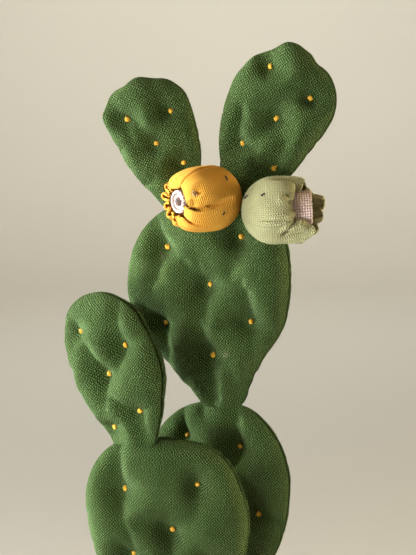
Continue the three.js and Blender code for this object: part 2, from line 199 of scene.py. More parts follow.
TOUCH = 0.3  # the gap left between two pieces that rest on each other, in millimetres
STIFFNESS = dict(tension=12, shear=5, bending=0.5)
BACK_PANEL = 300  # the back panel's cloth coordinates start this far away, so that its threads differ

# The cloth simulation runs this much larger than life, where Blender's cloth is steady.
SIM_SCALE = 10
SIM_FRAMES = 25


def smooth(x):
    x = np.clip(x, 0, 1)
    return x * x * (3 - 2 * x)


def closed_curve(corners, step):
    """Points every step along a closed centripetal Catmull-Rom curve through the corners."""
    p = np.array(corners, float)
    before, after, beyond = np.roll(p, 1, 0), np.roll(p, -1, 0), np.roll(p, -2, 0)
    gaps = [np.linalg.norm(b - a, axis=1) ** 0.5 for a, b in ((before, p), (p, after), (after, beyond))]
    t0 = np.zeros(len(p))
    t1, t2, t3 = np.cumsum(gaps, axis=0)
    found = []
    for share in np.linspace(0, 1, 12, endpoint=False):
        t = t1 + (t2 - t1) * share

        def mix(a, b, ta, tb):
            return ((tb - t) / (tb - ta))[:, None] * a + ((t - ta) / (tb - ta))[:, None] * b

        a1, a2, a3 = mix(before, p, t0, t1), mix(p, after, t1, t2), mix(after, beyond, t2, t3)
        found.append(mix(mix(a1, a2, t0, t2), mix(a2, a3, t1, t3), t1, t2))
    line = np.stack(found, 1).reshape(-1, p.shape[1])
    return resampled(line, step)


def resampled(line, step):
    """A closed line's points again, evenly spaced."""
    closed = np.vstack([line, line[:1]])
    along = np.concatenate([[0], np.cumsum(np.linalg.norm(np.diff(closed[:, :2], axis=0), axis=1))])
    at = np.linspace(0, along[-1], round(along[-1] / step), endpoint=False)
    return np.stack([np.interp(at, along, closed[:, k]) for k in range(closed.shape[1])], 1)


def within(ring, points):
    """Which of the points lie inside the closed ring."""
    x, y = points[:, :1], points[:, 1:]
    (x0, y0), (x1, y1) = ring.T, np.roll(ring, 1, 0).T
    level = np.where(y1 == y0, 1e-9, y1 - y0)
    crosses = ((y0 > y) != (y1 > y)) & (x < (x1 - x0) * (y - y0) / level + x0)
    return crosses.sum(1) % 2 == 1


def nearest(points, others):
    return np.linalg.norm(points[:, None] - others[None], axis=2).min(1)


def pad_matrix(pad):
    yaw, tilt = math.radians(pad["yaw"]), math.radians(pad["tilt"])
    turn = Matrix.Rotation(yaw, 4, "Z") @ Matrix.Rotation(math.pi / 2, 4, "X") @ Matrix.Rotation(-tilt, 4, "Z")
    return Matrix.Translation(pad["foot"]) @ turn


def placed(matrix, points):
    """Millimetre points through a matrix, in metres."""
    m = np.array(matrix)
    return (points @ m[:3, :3].T + m[:3, 3]) * MM


def inward_of(ring):
    """The way in from each point of a closed ring that runs clockwise."""
    along = np.roll(ring, -1, 0) - np.roll(ring, 1, 0)
    return np.stack([along[:, 1], -along[:, 0]], 1) / np.linalg.norm(along, axis=1)[:, None]


def fold_depth(folds, flat):
    """How deep the folds press each flat point of a panel in."""
    valleys, ridges = np.zeros((2, len(flat)))
    for x0, y0, x1, y1, deep, right, left in folds:
        start, way = np.array([x0, y0]), np.array([x1 - x0, y1 - y0])
        to = flat - start
        share = np.clip(to @ way / (way @ way), 0, 1)
        off = np.linalg.norm(to - share[:, None] * way, axis=1)
        wide = np.where(way[0] * to[:, 1] - way[1] * to[:, 0] < 0, right, left)
        press = deep * np.exp(-((off / wide) ** FOLD_EDGE))
        valleys, ridges = np.maximum(valleys, press), np.minimum(ridges, press)
    return valleys + ridges


def lumps(flat, size, seed):
    """Uneven stuffing: smooth random numbers from -1 to 1 over a panel."""
    return np.array([noise.noise(Vector((x / size, y / size, seed))) for x, y in flat])


class Panels:
    """A pad's two panels of cloth, cut alike and sewn together along the seam."""

    def __init__(self, pad, step):
        ring = closed_curve(pad["outline"], step)
        ring = resampled(ring + inward_of(ring) * pad["inset"], step)
        inward = inward_of(ring)
        low, high = ring.min(0), ring.max(0)
        self.ring = ring
        self.middle = np.array([(low[0] + high[0]) / 2, low[1] + HEART * (high[1] - low[1])])
        tufts = np.array(pad["tufts"], float)
        grid = np.array([
            (x, y)
            for row, y in enumerate(np.arange(low[1], high[1], step * math.sqrt(3) / 2))
            for x in np.arange(low[0] + (row % 2) * step / 2, high[0], step)
        ])
        clear = nearest(grid, ring) > SEAM_ROWS[-1] + step * 0.55
        grid = grid[clear & within(ring, grid) & (nearest(grid, tufts) > step * 0.6)]
        flat = np.vstack([ring, *(ring + inward * row for row in SEAM_ROWS), tufts, grid])
        corners, _, faces, *_ = geometry.delaunay_2d_cdt(
            [Vector(p) for p in flat], [], [list(range(len(ring)))], 1, 1e-5
        )
        self.flat = np.array([tuple(c) for c in corners])
        self.seam = nearest(self.flat, ring) < 1e-3
        self.tufts = [int(np.argmin(np.linalg.norm(self.flat - t, axis=1))) for t in tufts]
        self.back = np.arange(len(self.flat))
        self.back[~self.seam] = len(self.flat) + np.arange((~self.seam).sum())
        self.faces = []
        for a, b, c in faces:
            (ux, uy), (vx, vy) = self.flat[b] - self.flat[a], self.flat[c] - self.flat[a]
            front = (a, b, c) if ux * vy > uy * vx else (a, c, b)
            self.faces += [front, tuple(int(self.back[i]) for i in front[::-1])]

    def outness(self):
        """0 at the pad's middle and 1 on its seam, with the way out and the seam's distance along it."""
        ways = np.arctan2(*(self.ring - self.middle).T[::-1])
        order = np.argsort(ways)
        ways = ways[order]
        reach = np.linalg.norm(self.ring - self.middle, axis=1)[order]
        ways = np.concatenate([ways - 2 * np.pi, ways, ways + 2 * np.pi])
        out = self.flat - self.middle
        seam_at = np.interp(np.arctan2(out[:, 1], out[:, 0]), ways, np.tile(reach, 3))
        far = np.linalg.norm(out, axis=1)
        return np.where(self.seam, 1, np.clip(far / seam_at, 0, 1)), out / np.maximum(far, 1e-9)[:, None], seam_at

    def away(self):
        """Each flat point's way out of the pad, from the nearest point of its seam."""
        closest = np.linalg.norm(self.flat[:, None] - self.ring[None], axis=2).argmin(1)
        return -inward_of(self.ring)[closest]

    def run_at(self):
        """How far along the seam each flat point's nearest seam point lies."""
        steps = np.linalg.norm(np.roll(self.ring, -1, 0) - self.ring, axis=1)
        closest = np.linalg.norm(self.flat[:, None] - self.ring[None], axis=2).argmin(1)
        return np.concatenate([[0], np.cumsum(steps)[:-1]])[closest]

    def fading(self, reach):
        """1 on the seam and less and less inwards."""
        return np.exp(-nearest(self.flat, self.ring) / reach)

    def both(self, front):
        """One value for each vertex of both panels, from the front panel's."""
        return np.concatenate([front, front[~self.seam]])

    def raised(self, height):
        up = np.where(self.seam, 0, height)
        return np.vstack([np.column_stack([self.flat, up]), np.column_stack([self.flat, -up])[~self.seam]])


def stuffed_height(pad, panels):
    share = FOOT_SHARE + (1 - FOOT_SHARE) * smooth(panels.flat[:, 1] / FOOT_LENGTH)
    out = panels.outness()[0]
    return pad["half"] * share * (1 - out ** FULLNESS) ** (1 / FULLNESS)


def cloth_coordinates(pad, panels):
    """Where each point lies on the flat cloth, measured over the stuffed pad from its middle."""
    out, way, seam_at = panels.outness()
    steps = 24
    length = np.zeros(len(out))
    last_r, last_h = np.zeros(len(out)), np.full(len(out), float(pad["half"]))
    for k in range(1, steps + 1):
        share = out * k / steps
        r, h = seam_at * share, pad["half"] * (1 - share ** FULLNESS) ** (1 / FULLNESS)
        length += np.hypot(r - last_r, h - last_h)
        last_r, last_h = r, h
    flat = panels.middle + way * length[:, None]
    front = np.column_stack([flat, np.zeros(len(flat))])
    back = np.column_stack([BACK_PANEL - flat[:, 0], flat[:, 1], np.ones(len(flat))])
    return np.vstack([front, back[~panels.seam]])


def simulated(jobs, settings):
    """Runs the cloth of every job at once and gives their shapes. A job is (object, start, rest, held points)."""
    scene = bpy.context.scene
    for piece, start, rest, held in jobs:
        piece.data.vertices.foreach_set("co", (start * MM * SIM_SCALE).ravel())
        piece.shape_key_add(name="start")
        key = piece.shape_key_add(name="cut")
        key.data.foreach_set("co", (rest * MM * SIM_SCALE).ravel())
        group = piece.vertex_groups.new(name="held")
        group.add([int(i) for i in held], 1.0, "REPLACE")
        cloth = piece.modifiers.new("Cloth", "CLOTH")
        s = cloth.settings
        s.quality, s.mass, s.air_damping = 6, 0.3, 2
        s.tension_stiffness = s.compression_stiffness = STIFFNESS["tension"]
        s.shear_stiffness, s.bending_stiffness = STIFFNESS["shear"], STIFFNESS["bending"]
        s.use_pressure, s.uniform_pressure_force = True, settings.pressure
        s.shrink_min = -settings.extra
        s.effector_weights.gravity = 0
        s.vertex_group_mass, s.rest_shape_key = "held", key
        cloth.collision_settings.use_collision = False
        cloth.collision_settings.use_self_collision = False
    for step in range(1, SIM_FRAMES + 1):
        scene.frame_set(step)
    graph = bpy.context.evaluated_depsgraph_get()
    results = []
    for piece, *_ in jobs:
        shape = piece.evaluated_get(graph).to_mesh()
        found = np.empty(3 * len(shape.vertices))
        shape.vertices.foreach_get("co", found)
        results.append(found.reshape(-1, 3) / (MM * SIM_SCALE))
        piece.evaluated_get(graph).to_mesh_clear()
    for piece, *_ in jobs:
        piece.modifiers.clear()
        piece.shape_key_clear()
        piece.vertex_groups.clear()
    scene.frame_set(1)
    return results


# ---- Pieces ---------------------------------------------------------------------------------------------------


def mesh_object(name, points, faces, material):
    data = bpy.data.meshes.new(name)
    data.from_pydata([tuple(map(float, p)) for p in points], [], [tuple(map(int, f)) for f in faces])
    data.update()
    data.polygons.foreach_set("use_smooth", [True] * len(data.polygons))
    data.materials.append(material)
    piece = bpy.data.objects.new(name, data)
    bpy.context.scene.collection.objects.link(piece)
    return piece


def keep(piece, slot, *nodes):
    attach(piece, ROOT)
    if nodes:
        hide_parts(*nodes)


def store(piece, name, values, kind="FLOAT_VECTOR"):
    attribute = piece.data.attributes.new(name, kind, "POINT")
    field = "vector" if kind == "FLOAT_VECTOR" else "value"
    attribute.data.foreach_set(field, np.asarray(values, float).ravel())


def applied(piece):
    """Bakes the piece's modifiers into its mesh."""
    graph = bpy.context.evaluated_depsgraph_get()
    data = bpy.data.meshes.new_from_object(piece.evaluated_get(graph), depsgraph=graph)
    old = piece.data
    piece.modifiers.clear()
    piece.data = data
    data.name = piece.name
    bpy.data.meshes.remove(old)


def subdivided(piece):
    modifier = piece.modifiers.new("Subdivision", "SUBSURF")
    modifier.levels = modifier.render_levels = 1
    applied(piece)


def points_of(piece):
    found = np.empty(3 * len(piece.data.vertices))
    piece.data.vertices.foreach_get("co", found)
    return found.reshape(-1, 3)


def set_points(piece, points):
    piece.data.vertices.foreach_set("co", np.asarray(points, float).ravel())
    piece.data.update()


def tree_of(piece):
    return BVHTree.FromPolygons(
        [tuple(p) for p in points_of(piece)], [tuple(f.vertices) for f in piece.data.polygons]
    )


def pushed_out(points, ways, tree, clearance, limit):
    """Moves each point that is a little way inside a closed mesh out of it, along its own way."""
    for i, (point, way) in enumerate(zip(points, ways)):
        start, way = Vector(point), Vector(way).normalized()
        hit, normal, _, far = tree.ray_cast(start, way, limit)
        if hit is not None and normal.dot(way) > 0:
            points[i] = start + way * (far + clearance)
    return points


class Parts:
    """Everything that one mesh gathers from several small forms."""

    def __init__(self):
        self.points, self.faces, self.marks = [], [], []

    def add(self, points, faces, mark=0.0):
        first = len(self.points)
        self.points += [tuple(p) for p in points]
        self.faces += [tuple(first + i for i in f) for f in faces]
        self.marks += [mark] * len(points)


def thread(path, radius, lay, sides=8):
    """A two-ply thread along a path: its section is a rounded pair, turned by lay radians a millimetre."""
    path = np.asarray(path, float)
    tangent = np.gradient(path, axis=0)
    tangent /= np.linalg.norm(tangent, axis=1)[:, None]
    across = np.cross(tangent[0], (0.3, 0.2, 0.9))
    points, run = [], 0.0
    for i, (at, way) in enumerate(zip(path, tangent)):
        across = across - way * across.dot(way)
        across /= np.linalg.norm(across)
        other = np.cross(way, across)
        run += np.linalg.norm(at - path[i - 1]) if i else 0
        turn = np.linspace(0, 2 * np.pi, sides, endpoint=False)
        narrowing = 0.45 if i in (0, len(path) - 1) else 1
        r = radius * narrowing * (0.82 + 0.24 * np.cos(2 * (turn - lay * run)))
        points += list(at + r[:, None] * (np.cos(turn)[:, None] * across + np.sin(turn)[:, None] * other))
    faces = [
        (i * sides + j, i * sides + (j + 1) % sides, (i + 1) * sides + (j + 1) % sides, (i + 1) * sides + j)
        for i in range(len(path) - 1)
        for j in range(sides)
    ]
    faces += [tuple(range(sides))[::-1], tuple(range((len(path) - 1) * sides, len(path) * sides))]
    return np.array(points), faces


# ---- Shader groups --------------------------------------------------------------------------------------------


def node(tree, kind, **values):
    made = tree.nodes.new(kind)
    for name, value in values.items():
        setattr(made, name, value)
    return made


def fed(tree, made, **inputs):
    """Fills a node's inputs by name or number; a socket is linked and anything else is its value."""
    for name, value in inputs.items():
        socket = made.inputs[int(name[1:])] if name[0] == "_" else made.inputs[name.replace("_", " ")]
        if isinstance(value, bpy.types.NodeSocket):
            tree.links.new(value, socket)
        else:
            socket.default_value = value
    return made


def maths(tree, operation, *values):
    made = node(tree, "ShaderNodeMath", operation=operation)
    return fed(tree, made, **{f"_{i}": v for i, v in enumerate(values)}).outputs[0]


def vector_maths(tree, operation, *values):
    made = node(tree, "ShaderNodeVectorMath", operation=operation)
    return fed(tree, made, **{f"_{i}": v for i, v in enumerate(values)}).outputs[0]


def blended(tree, factor, a, b, blend="MIX"):
    made = node(tree, "ShaderNodeMix", data_type="RGBA", blend_type=blend)
    return fed(tree, made, _0=factor, _6=a, _7=b).outputs[2]


def ranged(tree, value, low, high, to_low=0.0, to_high=1.0):
    made = node(tree, "ShaderNodeMapRange", interpolation_type="SMOOTHSTEP")
    return fed(tree, made, _0=value, _1=low, _2=high, _3=to_low, _4=to_high).outputs[0]


def attribute(tree, name, output="Vector"):
    return node(tree, "ShaderNodeAttribute", attribute_name=name).outputs[output]


def noised(tree, at, scale, detail=3.0, roughness=0.55):
    made = node(tree, "ShaderNodeTexNoise")
    return fed(tree, made, Vector=at, Scale=scale, Detail=detail, Roughness=roughness).outputs["Fac"]


def new_group(name, inputs, outputs):
    """An empty shader group with named sockets. Inputs and outputs are (name, kind, default)."""
    tree = bpy.data.node_groups.new(name, "ShaderNodeTree")
    for in_out, sockets in (("INPUT", inputs), ("OUTPUT", outputs)):
        for label, kind, default in sockets:
            made = tree.interface.new_socket(label, in_out=in_out, socket_type=f"NodeSocket{kind}")
            if default is not None:
                made.default_value = default
    return tree, node(tree, "NodeGroupInput").outputs, node(tree, "NodeGroupOutput").inputs


def weave_group():
    """Threads over and under one another: how high the cloth stands, and one random number for each crossing."""
    tree, given, out = new_group(
        "Woven Threads",
        [("Cloth", "Vector", None), ("Across", "Float", 0.9), ("Along", "Float", 0.9), ("Stagger", "Float", 0.5),
         ("Stray", "Float", 0.15)],
        [("Height", "Float", None), ("Fleck", "Float", None)],
    )
    bent = fed(tree, node(tree, "ShaderNodeTexNoise"), Vector=given["Cloth"], Scale=0.45, Detail=1.0)
    stray = vector_maths(tree, "SUBTRACT", bent.outputs["Color"], (0.5, 0.5, 0.5))
    push = node(tree, "ShaderNodeVectorMath", operation="SCALE")
    fed(tree, push, _0=stray)
    tree.links.new(maths(tree, "MULTIPLY", given["Stray"], 6.0), push.inputs["Scale"])
    at = node(tree, "ShaderNodeSeparateXYZ")
    tree.links.new(vector_maths(tree, "ADD", given["Cloth"], push.outputs[0]), at.inputs[0])
    a = maths(tree, "DIVIDE", at.outputs["X"], given["Across"])
    column = maths(tree, "FLOOR", a)
    shift = maths(tree, "MULTIPLY", maths(tree, "PINGPONG", column, 1.0), given["Stagger"])
    b = maths(tree, "ADD", maths(tree, "DIVIDE", at.outputs["Y"], given["Along"]), shift)
    cell = fed(tree, node(tree, "ShaderNodeCombineXYZ"), X=column, Y=maths(tree, "FLOOR", b), Z=at.outputs["Z"])
    fleck = fed(tree, node(tree, "ShaderNodeTexWhiteNoise"), Vector=cell.outputs[0])
    domes = []
    for side in (a, b):
        offset = maths(tree, "SUBTRACT", maths(tree, "FRACT", side), 0.5)
        domes.append(maths(tree, "SUBTRACT", 1.0, maths(tree, "MULTIPLY", maths(tree, "POWER", offset, 2.0), 4.0)))
    tree.links.new(maths(tree, "MULTIPLY", *domes), out["Height"])
    tree.links.new(fleck.outputs["Value"], out["Fleck"])
    return tree


def ribs_group():
    """A fine cloth's face: its crossings and ribs as colour and height. Rib is how strongly the ribs stand out."""
    tree, given, out = new_group(
        "Ribbed Face",
        [("Cloth", "Vector", None), ("Weave", "Float", 0.5), ("Fleck", "Float", 0.5), ("Along", "Float", 1.0),
         ("Rib", "Float", 0.5), ("Colour", "Color", None), ("Shade", "Color", None), ("Nap", "Color", None)],
        [("Colour", "Color", None), ("Height", "Float", None)],
    )
    at = fed(tree, node(tree, "ShaderNodeSeparateXYZ"), Vector=given["Cloth"]).outputs
    line = maths(tree, "DIVIDE", maths(tree, "MULTIPLY", at["Y"], 2 * math.pi), given["Along"])
    ribs = maths(tree, "MULTIPLY", maths(tree, "ADD", maths(tree, "SINE", line), 1.0), 0.5)
    place = node(tree, "ShaderNodeTexCoord").outputs["Object"]
    fibres = noised(tree, place, 2500.0, 2.0, 0.6)
    blotch = noised(tree, place, 90.0, 2.0)
    flat = maths(tree, "SUBTRACT", 1.0, given["Rib"])
    height = mixed_heights(tree, (given["Weave"], flat), (ribs, given["Rib"]), (fibres, 0.2))
    base = blended(tree, ranged(tree, height, 0.2, 0.7), given["Shade"], given["Colour"])
    base = blended(tree, maths(tree, "MULTIPLY", given["Fleck"], 0.5), base, given["Nap"])
    base = blended(tree, ranged(tree, blotch, 0.35, 0.7, 0.0, 0.2), base, given["Shade"])
    tree.links.new(base, out["Colour"])
    tree.links.new(height, out["Height"])
    return tree


def strands_group():
    """The fine strands of a thread, as colour and height."""
    tree, given, out = new_group(
        "Thread Strands",
        [("Colour", "Color", None), ("Shade", "Color", None)],
        [("Colour", "Color", None), ("Height", "Float", None)],
    )
    place = node(tree, "ShaderNodeTexCoord").outputs["Object"]
    strands = noised(tree, place, 3200.0, 2.0)
    tone = noised(tree, place, 300.0, 1.0)
    base = blended(tree, ranged(tree, strands, 0.35, 0.65), given["Shade"], given["Colour"])
    base = blended(tree, ranged(tree, tone, 0.4, 0.7, 0.0, 0.35), base, given["Shade"])
    tree.links.new(base, out["Colour"])
    tree.links.new(strands, out["Height"])
    return tree


def speckle_group():
    """A stone's dark speckles, as colour and height."""
    tree, given, out = new_group(
        "Stone Speckle",
        [("Colour", "Color", None), ("Speck", "Color", None)],
        [("Colour", "Color", None), ("Height", "Float", None)],
    )
    place = node(tree, "ShaderNodeTexCoord").outputs["Object"]
    speckle = noised(tree, place, 1400.0, 4.0, 0.65)
    base = blended(tree, ranged(tree, speckle, 0.5, 0.75, 0.0, 0.45), given["Colour"], given["Speck"])
    tree.links.new(base, out["Colour"])
    tree.links.new(speckle, out["Height"])
    return tree


def shared(name, build):
    """A shader group that is built once."""
    return bpy.data.node_groups.get(name) or build()


def placed_group(tree, group, **inputs):
    made = node(tree, "ShaderNodeGroup", node_tree=group)
    return fed(tree, made, **inputs).outputs


def new_material(name, roughness, specular=0.2, sheen=None):
    """A material with its own Principled shader: (its tree, the shader)."""
    material = bpy.data.materials.new(name)
    material.use_nodes = True
    shader = material.node_tree.nodes["Principled BSDF"]
    shader.inputs["Roughness"].default_value = roughness
    shader.inputs["Specular IOR Level"].default_value = specular
    if sheen:
        weight, rough, tint = sheen
        shader.inputs["Sheen Weight"].default_value = weight
        shader.inputs["Sheen Roughness"].default_value = rough
        shader.inputs["Sheen Tint"].default_value = (*tint, 1)
    return material, material.node_tree, shader


def bumped(tree, shader, height, distance, strength=1.0):
    bump = node(tree, "ShaderNodeBump")
    fed(tree, bump, Height=height, Distance=distance, Strength=strength)
    tree.links.new(bump.outputs[0], shader.inputs["Normal"])


def mixed_heights(tree, *pairs):
    total = None
    for height, share in pairs:
        part = maths(tree, "MULTIPLY", height, share)
        total = part if total is None else maths(tree, "ADD", total, part)
    return total


# ---- Materials ------------------------------------------------------------------------------------------------


def tinted(colour):
    return (*colour, 1)


def green_cloth(settings):
    material, tree, shader = new_material("Green Wool", 0.95, 0.04, (0.1, 0.12, settings.sheen))
    cloth = attribute(tree, "cloth")
    threads = placed_group(
        tree, shared("Woven Threads", weave_group), Cloth=cloth, Across=settings.pitch / 2, Along=settings.pitch,
        Stagger=0.5, Stray=0.2,
    )
    place = node(tree, "ShaderNodeTexCoord").outputs["Object"]
    fibres = noised(tree, place, 1000.0, 1.0)
    wear = noised(tree, place, 45.0, 2.0)
    lift = maths(tree, "ADD", threads["Height"], maths(tree, "MULTIPLY", threads["Fleck"], 0.3))
    raised = ranged(tree, lift, 0.5, 1.0)
    pale = maths(tree, "POWER", threads["Fleck"], 2.2)
    pale = maths(tree, "ADD", maths(tree, "MULTIPLY", pale, 1.1), ranged(tree, fibres, 0.45, 0.75, -0.1, 0.35))
    yarn = blended(tree, pale, tinted(settings.yarn), tinted(settings.fleck))
    flecked = blended(tree, raised, tinted(settings.deep), yarn)
    worn = blended(tree, ranged(tree, wear, 0.35, 0.7, 0.0, 0.2), flecked, tinted(settings.yarn), "MULTIPLY")
    # Painted shade: the seam's furrow is darkened to the deep green, standing in for the shade that falls in the sewn
    # groove.
    furrow = ranged(tree, attribute(tree, "furrow", "Fac"), 0.35, 0.75, 0.0, 0.85)
    tree.links.new(blended(tree, furrow, worn, tinted(settings.deep)), shader.inputs["Base Color"])
    height = mixed_heights(tree, (threads["Height"], 0.8), (threads["Fleck"], 0.4))
    bumped(tree, shader, height, 0.0006)
    return material


def ribbed_cloth(name, colour, shade, light, across, along, stagger, rib):
    """A fine cloth: rib is how strongly its lines stand out over its single crossings."""
    material, tree, shader = new_material(name, 0.88, 0.15, (0.12, 0.4, light))
    cloth = attribute(tree, "cloth")
    threads = placed_group(
        tree, shared("Woven Threads", weave_group), Cloth=cloth, Across=across, Along=along, Stagger=stagger,
        Stray=0.05,
    )
    face = placed_group(
        tree, shared("Ribbed Face", ribs_group), Cloth=cloth, Weave=threads["Height"], Fleck=threads["Fleck"],
        Along=along, Rib=rib, Colour=tinted(colour), Shade=tinted(shade), Nap=tinted(light),
    )
    tree.links.new(face["Colour"], shader.inputs["Base Color"])
    bumped(tree, shader, face["Height"], 0.0007)
    return material


def thread_material(name, colour, dark):
    material, tree, shader = new_material(name, 0.6, 0.35, (0.25, 0.4, colour))
    strands = placed_group(
        tree, shared("Thread Strands", strands_group), Colour=tinted(colour), Shade=tinted(dark)
    )
    tree.links.new(strands["Colour"], shader.inputs["Base Color"])
    bumped(tree, shader, strands["Height"], 0.0002)
    return material


def clay_material(settings):
    material, tree, shader = new_material("Fired Clay", 0.86, 0.25)
    place = node(tree, "ShaderNodeTexCoord").outputs["Object"]
    grain = noised(tree, place, 900.0, 4.0, 0.6)
    cloud = noised(tree, place, 22.0, 4.0, 0.6)
    bloom = noised(tree, place, 60.0, 5.0, 0.65)
    base = blended(tree, ranged(tree, cloud, 0.3, 0.7), tinted(settings.clay), tinted(settings.clay_light))
    base = blended(tree, ranged(tree, grain, 0.58, 0.75, 0.0, 0.5), base, tinted(settings.clay_dark))
    base = blended(tree, ranged(tree, bloom, 0.56, 0.74, 0.0, 0.35), base, tinted(settings.bloom))
    tree.links.new(base, shader.inputs["Base Color"])
    tree.links.new(ranged(tree, bloom, 0.4, 0.7, 0.8, 0.95), shader.inputs["Roughness"])
    bumped(tree, shader, mixed_heights(tree, (grain, 0.6), (cloud, 0.4)), 0.0006, 0.6)
    return material


def stone_material(name, colours, roughness=0.75):
    """Each stone's own random number picks its colour between the given ones."""
    material, tree, shader = new_material(name, roughness, 0.35)
    cloud = noised(tree, node(tree, "ShaderNodeTexCoord").outputs["Object"], 140.0, 3.0)
    ramp = node(tree, "ShaderNodeValToRGB")
    stops = ramp.color_ramp.elements
    while len(stops) < len(colours):
        stops.new(0.5)
    for i, colour in enumerate(colours):
        stops[i].position = i / (len(colours) - 1)
        stops[i].color = tinted(colour)
    pick = maths(tree, "ADD", attribute(tree, "stone", "Fac"), maths(tree, "MULTIPLY", cloud, 0.2))
    tree.links.new(pick, ramp.inputs[0])
    speckled = placed_group(
        tree, shared("Stone Speckle", speckle_group), Colour=ramp.outputs[0], Speck=(0.16, 0.13, 0.1, 1)
    )
    tree.links.new(speckled["Colour"], shader.inputs["Base Color"])
    bumped(tree, shader, speckled["Height"], 0.0004, 0.5)
    return material


def wood_material():
    material, tree, shader = new_material("Birch", 0.62, 0.3)
    place = node(tree, "ShaderNodeTexCoord").outputs["Object"]
    drawn = node(tree, "ShaderNodeMapping")
    fed(tree, drawn, Vector=place, Scale=(900.0, 900.0, 30.0))
    grain = noised(tree, drawn.outputs[0], 1.0, 4.0, 0.6)
    base = blended(tree, ranged(tree, grain, 0.35, 0.7), (0.42, 0.27, 0.14, 1), (0.66, 0.49, 0.3, 1))
    tree.links.new(base, shader.inputs["Base Color"])
    bumped(tree, shader, grain, 0.0003, 0.5)
    return material


def backdrop_material(colour):
    material, tree, shader = new_material("Pale Backdrop", 0.95, 0.1)
    place = node(tree, "ShaderNodeTexCoord").outputs["Object"]
    tone = noised(tree, place, 3.0, 3.0)
    paler = tuple(min(1.0, c * 1.04) for c in colour)
    tree.links.new(blended(tree, tone, tinted(colour), tinted(paler)), shader.inputs["Base Color"])
    return material


# ---- Settings -------------------------------------------------------------------------------------------------


def colour_property(name, description, default):
    return FloatVectorProperty(
        name=name, description=description, default=default, subtype="COLOR", size=3, min=0, max=1
    )


def watts(name, place, default):
    about = f"Power of the light {place}, W"
    return FloatProperty(name=name, description=about, default=default, unit="POWER", min=0)


class CactusPads(bpy.types.PropertyGroup):
    step: FloatProperty(name="Mesh Step", description="Spacing of the cloth's points, mm", default=2.2, min=1.5)
    pressure: FloatProperty(name="Stuffing", description="How hard the stuffing presses", default=6.0, min=0)
    extra: FloatProperty(name="Extra Cloth", description="Slack that puckers at the seam", default=0.045)
    pull: FloatProperty(name="Tuft Pull", description="Share of the depth that a tuft pulls in", default=0.68)
    spread: FloatProperty(name="Tuft Spread", description="Reach of a tuft's dimple, mm", default=5.0)
    pitch: FloatProperty(name="Thread Pitch", description="Repeat of the cloth's weave, mm", default=1.6)
    # Besides the gaps between the threads, this deep green is painted along the seam as the shade in its furrow.
    deep: colour_property("Deep Green", "Between the threads", (0.008, 0.013, 0.001))
    yarn: colour_property("Yarn Green", "The threads", (0.058, 0.118, 0.021))
    fleck: colour_property("Fleck Green", "The palest fibres", (0.56, 0.84, 0.33))
    sheen: colour_property("Nap Green", "The nap at a glancing angle", (0.62, 0.7, 0.38))


class CactusKnots(bpy.types.PropertyGroup):
    radius: FloatProperty(name="Thread Radius", description="Radius of the tufting thread, mm", default=0.52)
    size: FloatProperty(name="Knot Size", description="Radius of the knot's coil, mm", default=1.12)
    thread: colour_property("Thread", "The tufting thread", (1.0, 0.6, 0.06))
    dark: colour_property("Thread Shade", "Between the plies", (0.42, 0.16, 0.008))
    black: colour_property("Black Thread", "The short stitches", (0.016, 0.014, 0.018))
    black_shade: colour_property("Black Shade", "Between their plies", (0.004, 0.004, 0.005))
    pale: colour_property("Pale Thread", "The loose ends", (0.58, 0.54, 0.34))
    pale_shade: colour_property("Pale Shade", "Between their plies", (0.36, 0.3, 0.2))


class CactusFruits(bpy.types.PropertyGroup):
    mustard: colour_property("Mustard", "The left fruit", (0.72, 0.32, 0.03))
    mustard_shade: colour_property("Mustard Shade", "Between its ribs", (0.42, 0.16, 0.006))
    mustard_light: colour_property("Mustard Nap", "Its nap", (0.88, 0.47, 0.1))
    sage: colour_property("Sage", "The right fruit", (0.3, 0.27, 0.115))
    sage_shade: colour_property("Sage Shade", "Between its threads", (0.075, 0.056, 0.015))
    sage_light: colour_property("Sage Nap", "Its nap", (0.85, 0.84, 0.5))
    pink: colour_property("Pink", "The rolled strips", (0.95, 0.72, 0.64))
    pink_shade: colour_property("Pink Shade", "Between their threads", (0.4, 0.25, 0.2))
    cream: colour_property("Cream", "The paler rolled strip", (0.3, 0.235, 0.21))


class CactusPot(bpy.types.PropertyGroup):
    clay: colour_property("Clay", "The fired clay", (0.33, 0.115, 0.052))
    clay_light: colour_property("Pale Clay", "Where it fired paler", (0.42, 0.17, 0.088))
    clay_dark: colour_property("Clay Grit", "Its dark grains", (0.24, 0.08, 0.04))
    bloom: colour_property("Lime Bloom", "The chalky bloom", (0.52, 0.42, 0.34))
    stones: IntProperty(name="Stone Seed", description="Draws another bed of pebbles", default=3, min=0)


class CactusStage(bpy.types.PropertyGroup):
    backdrop: colour_property("Backdrop", "The floor and the backdrop that it rises into", (0.36, 0.328, 0.288))
    key: watts("Key", "from the left", 60.0)
    fill: watts("Fill", "from above", 8.0)
    rim: watts("Rim", "from behind on the right", 6.0)
    low: watts("Low", "low down in front on the left", 4.5)
    around: watts("Around", "on each quarter of the backdrop", 30.0)
    sky: FloatProperty(name="Sky", description="Strength of the light from all round", default=0.035, min=0)


def setting(name):
    return getattr(bpy.context.scene, name)


# ---- Pads and knots -------------------------------------------------------------------------------------------


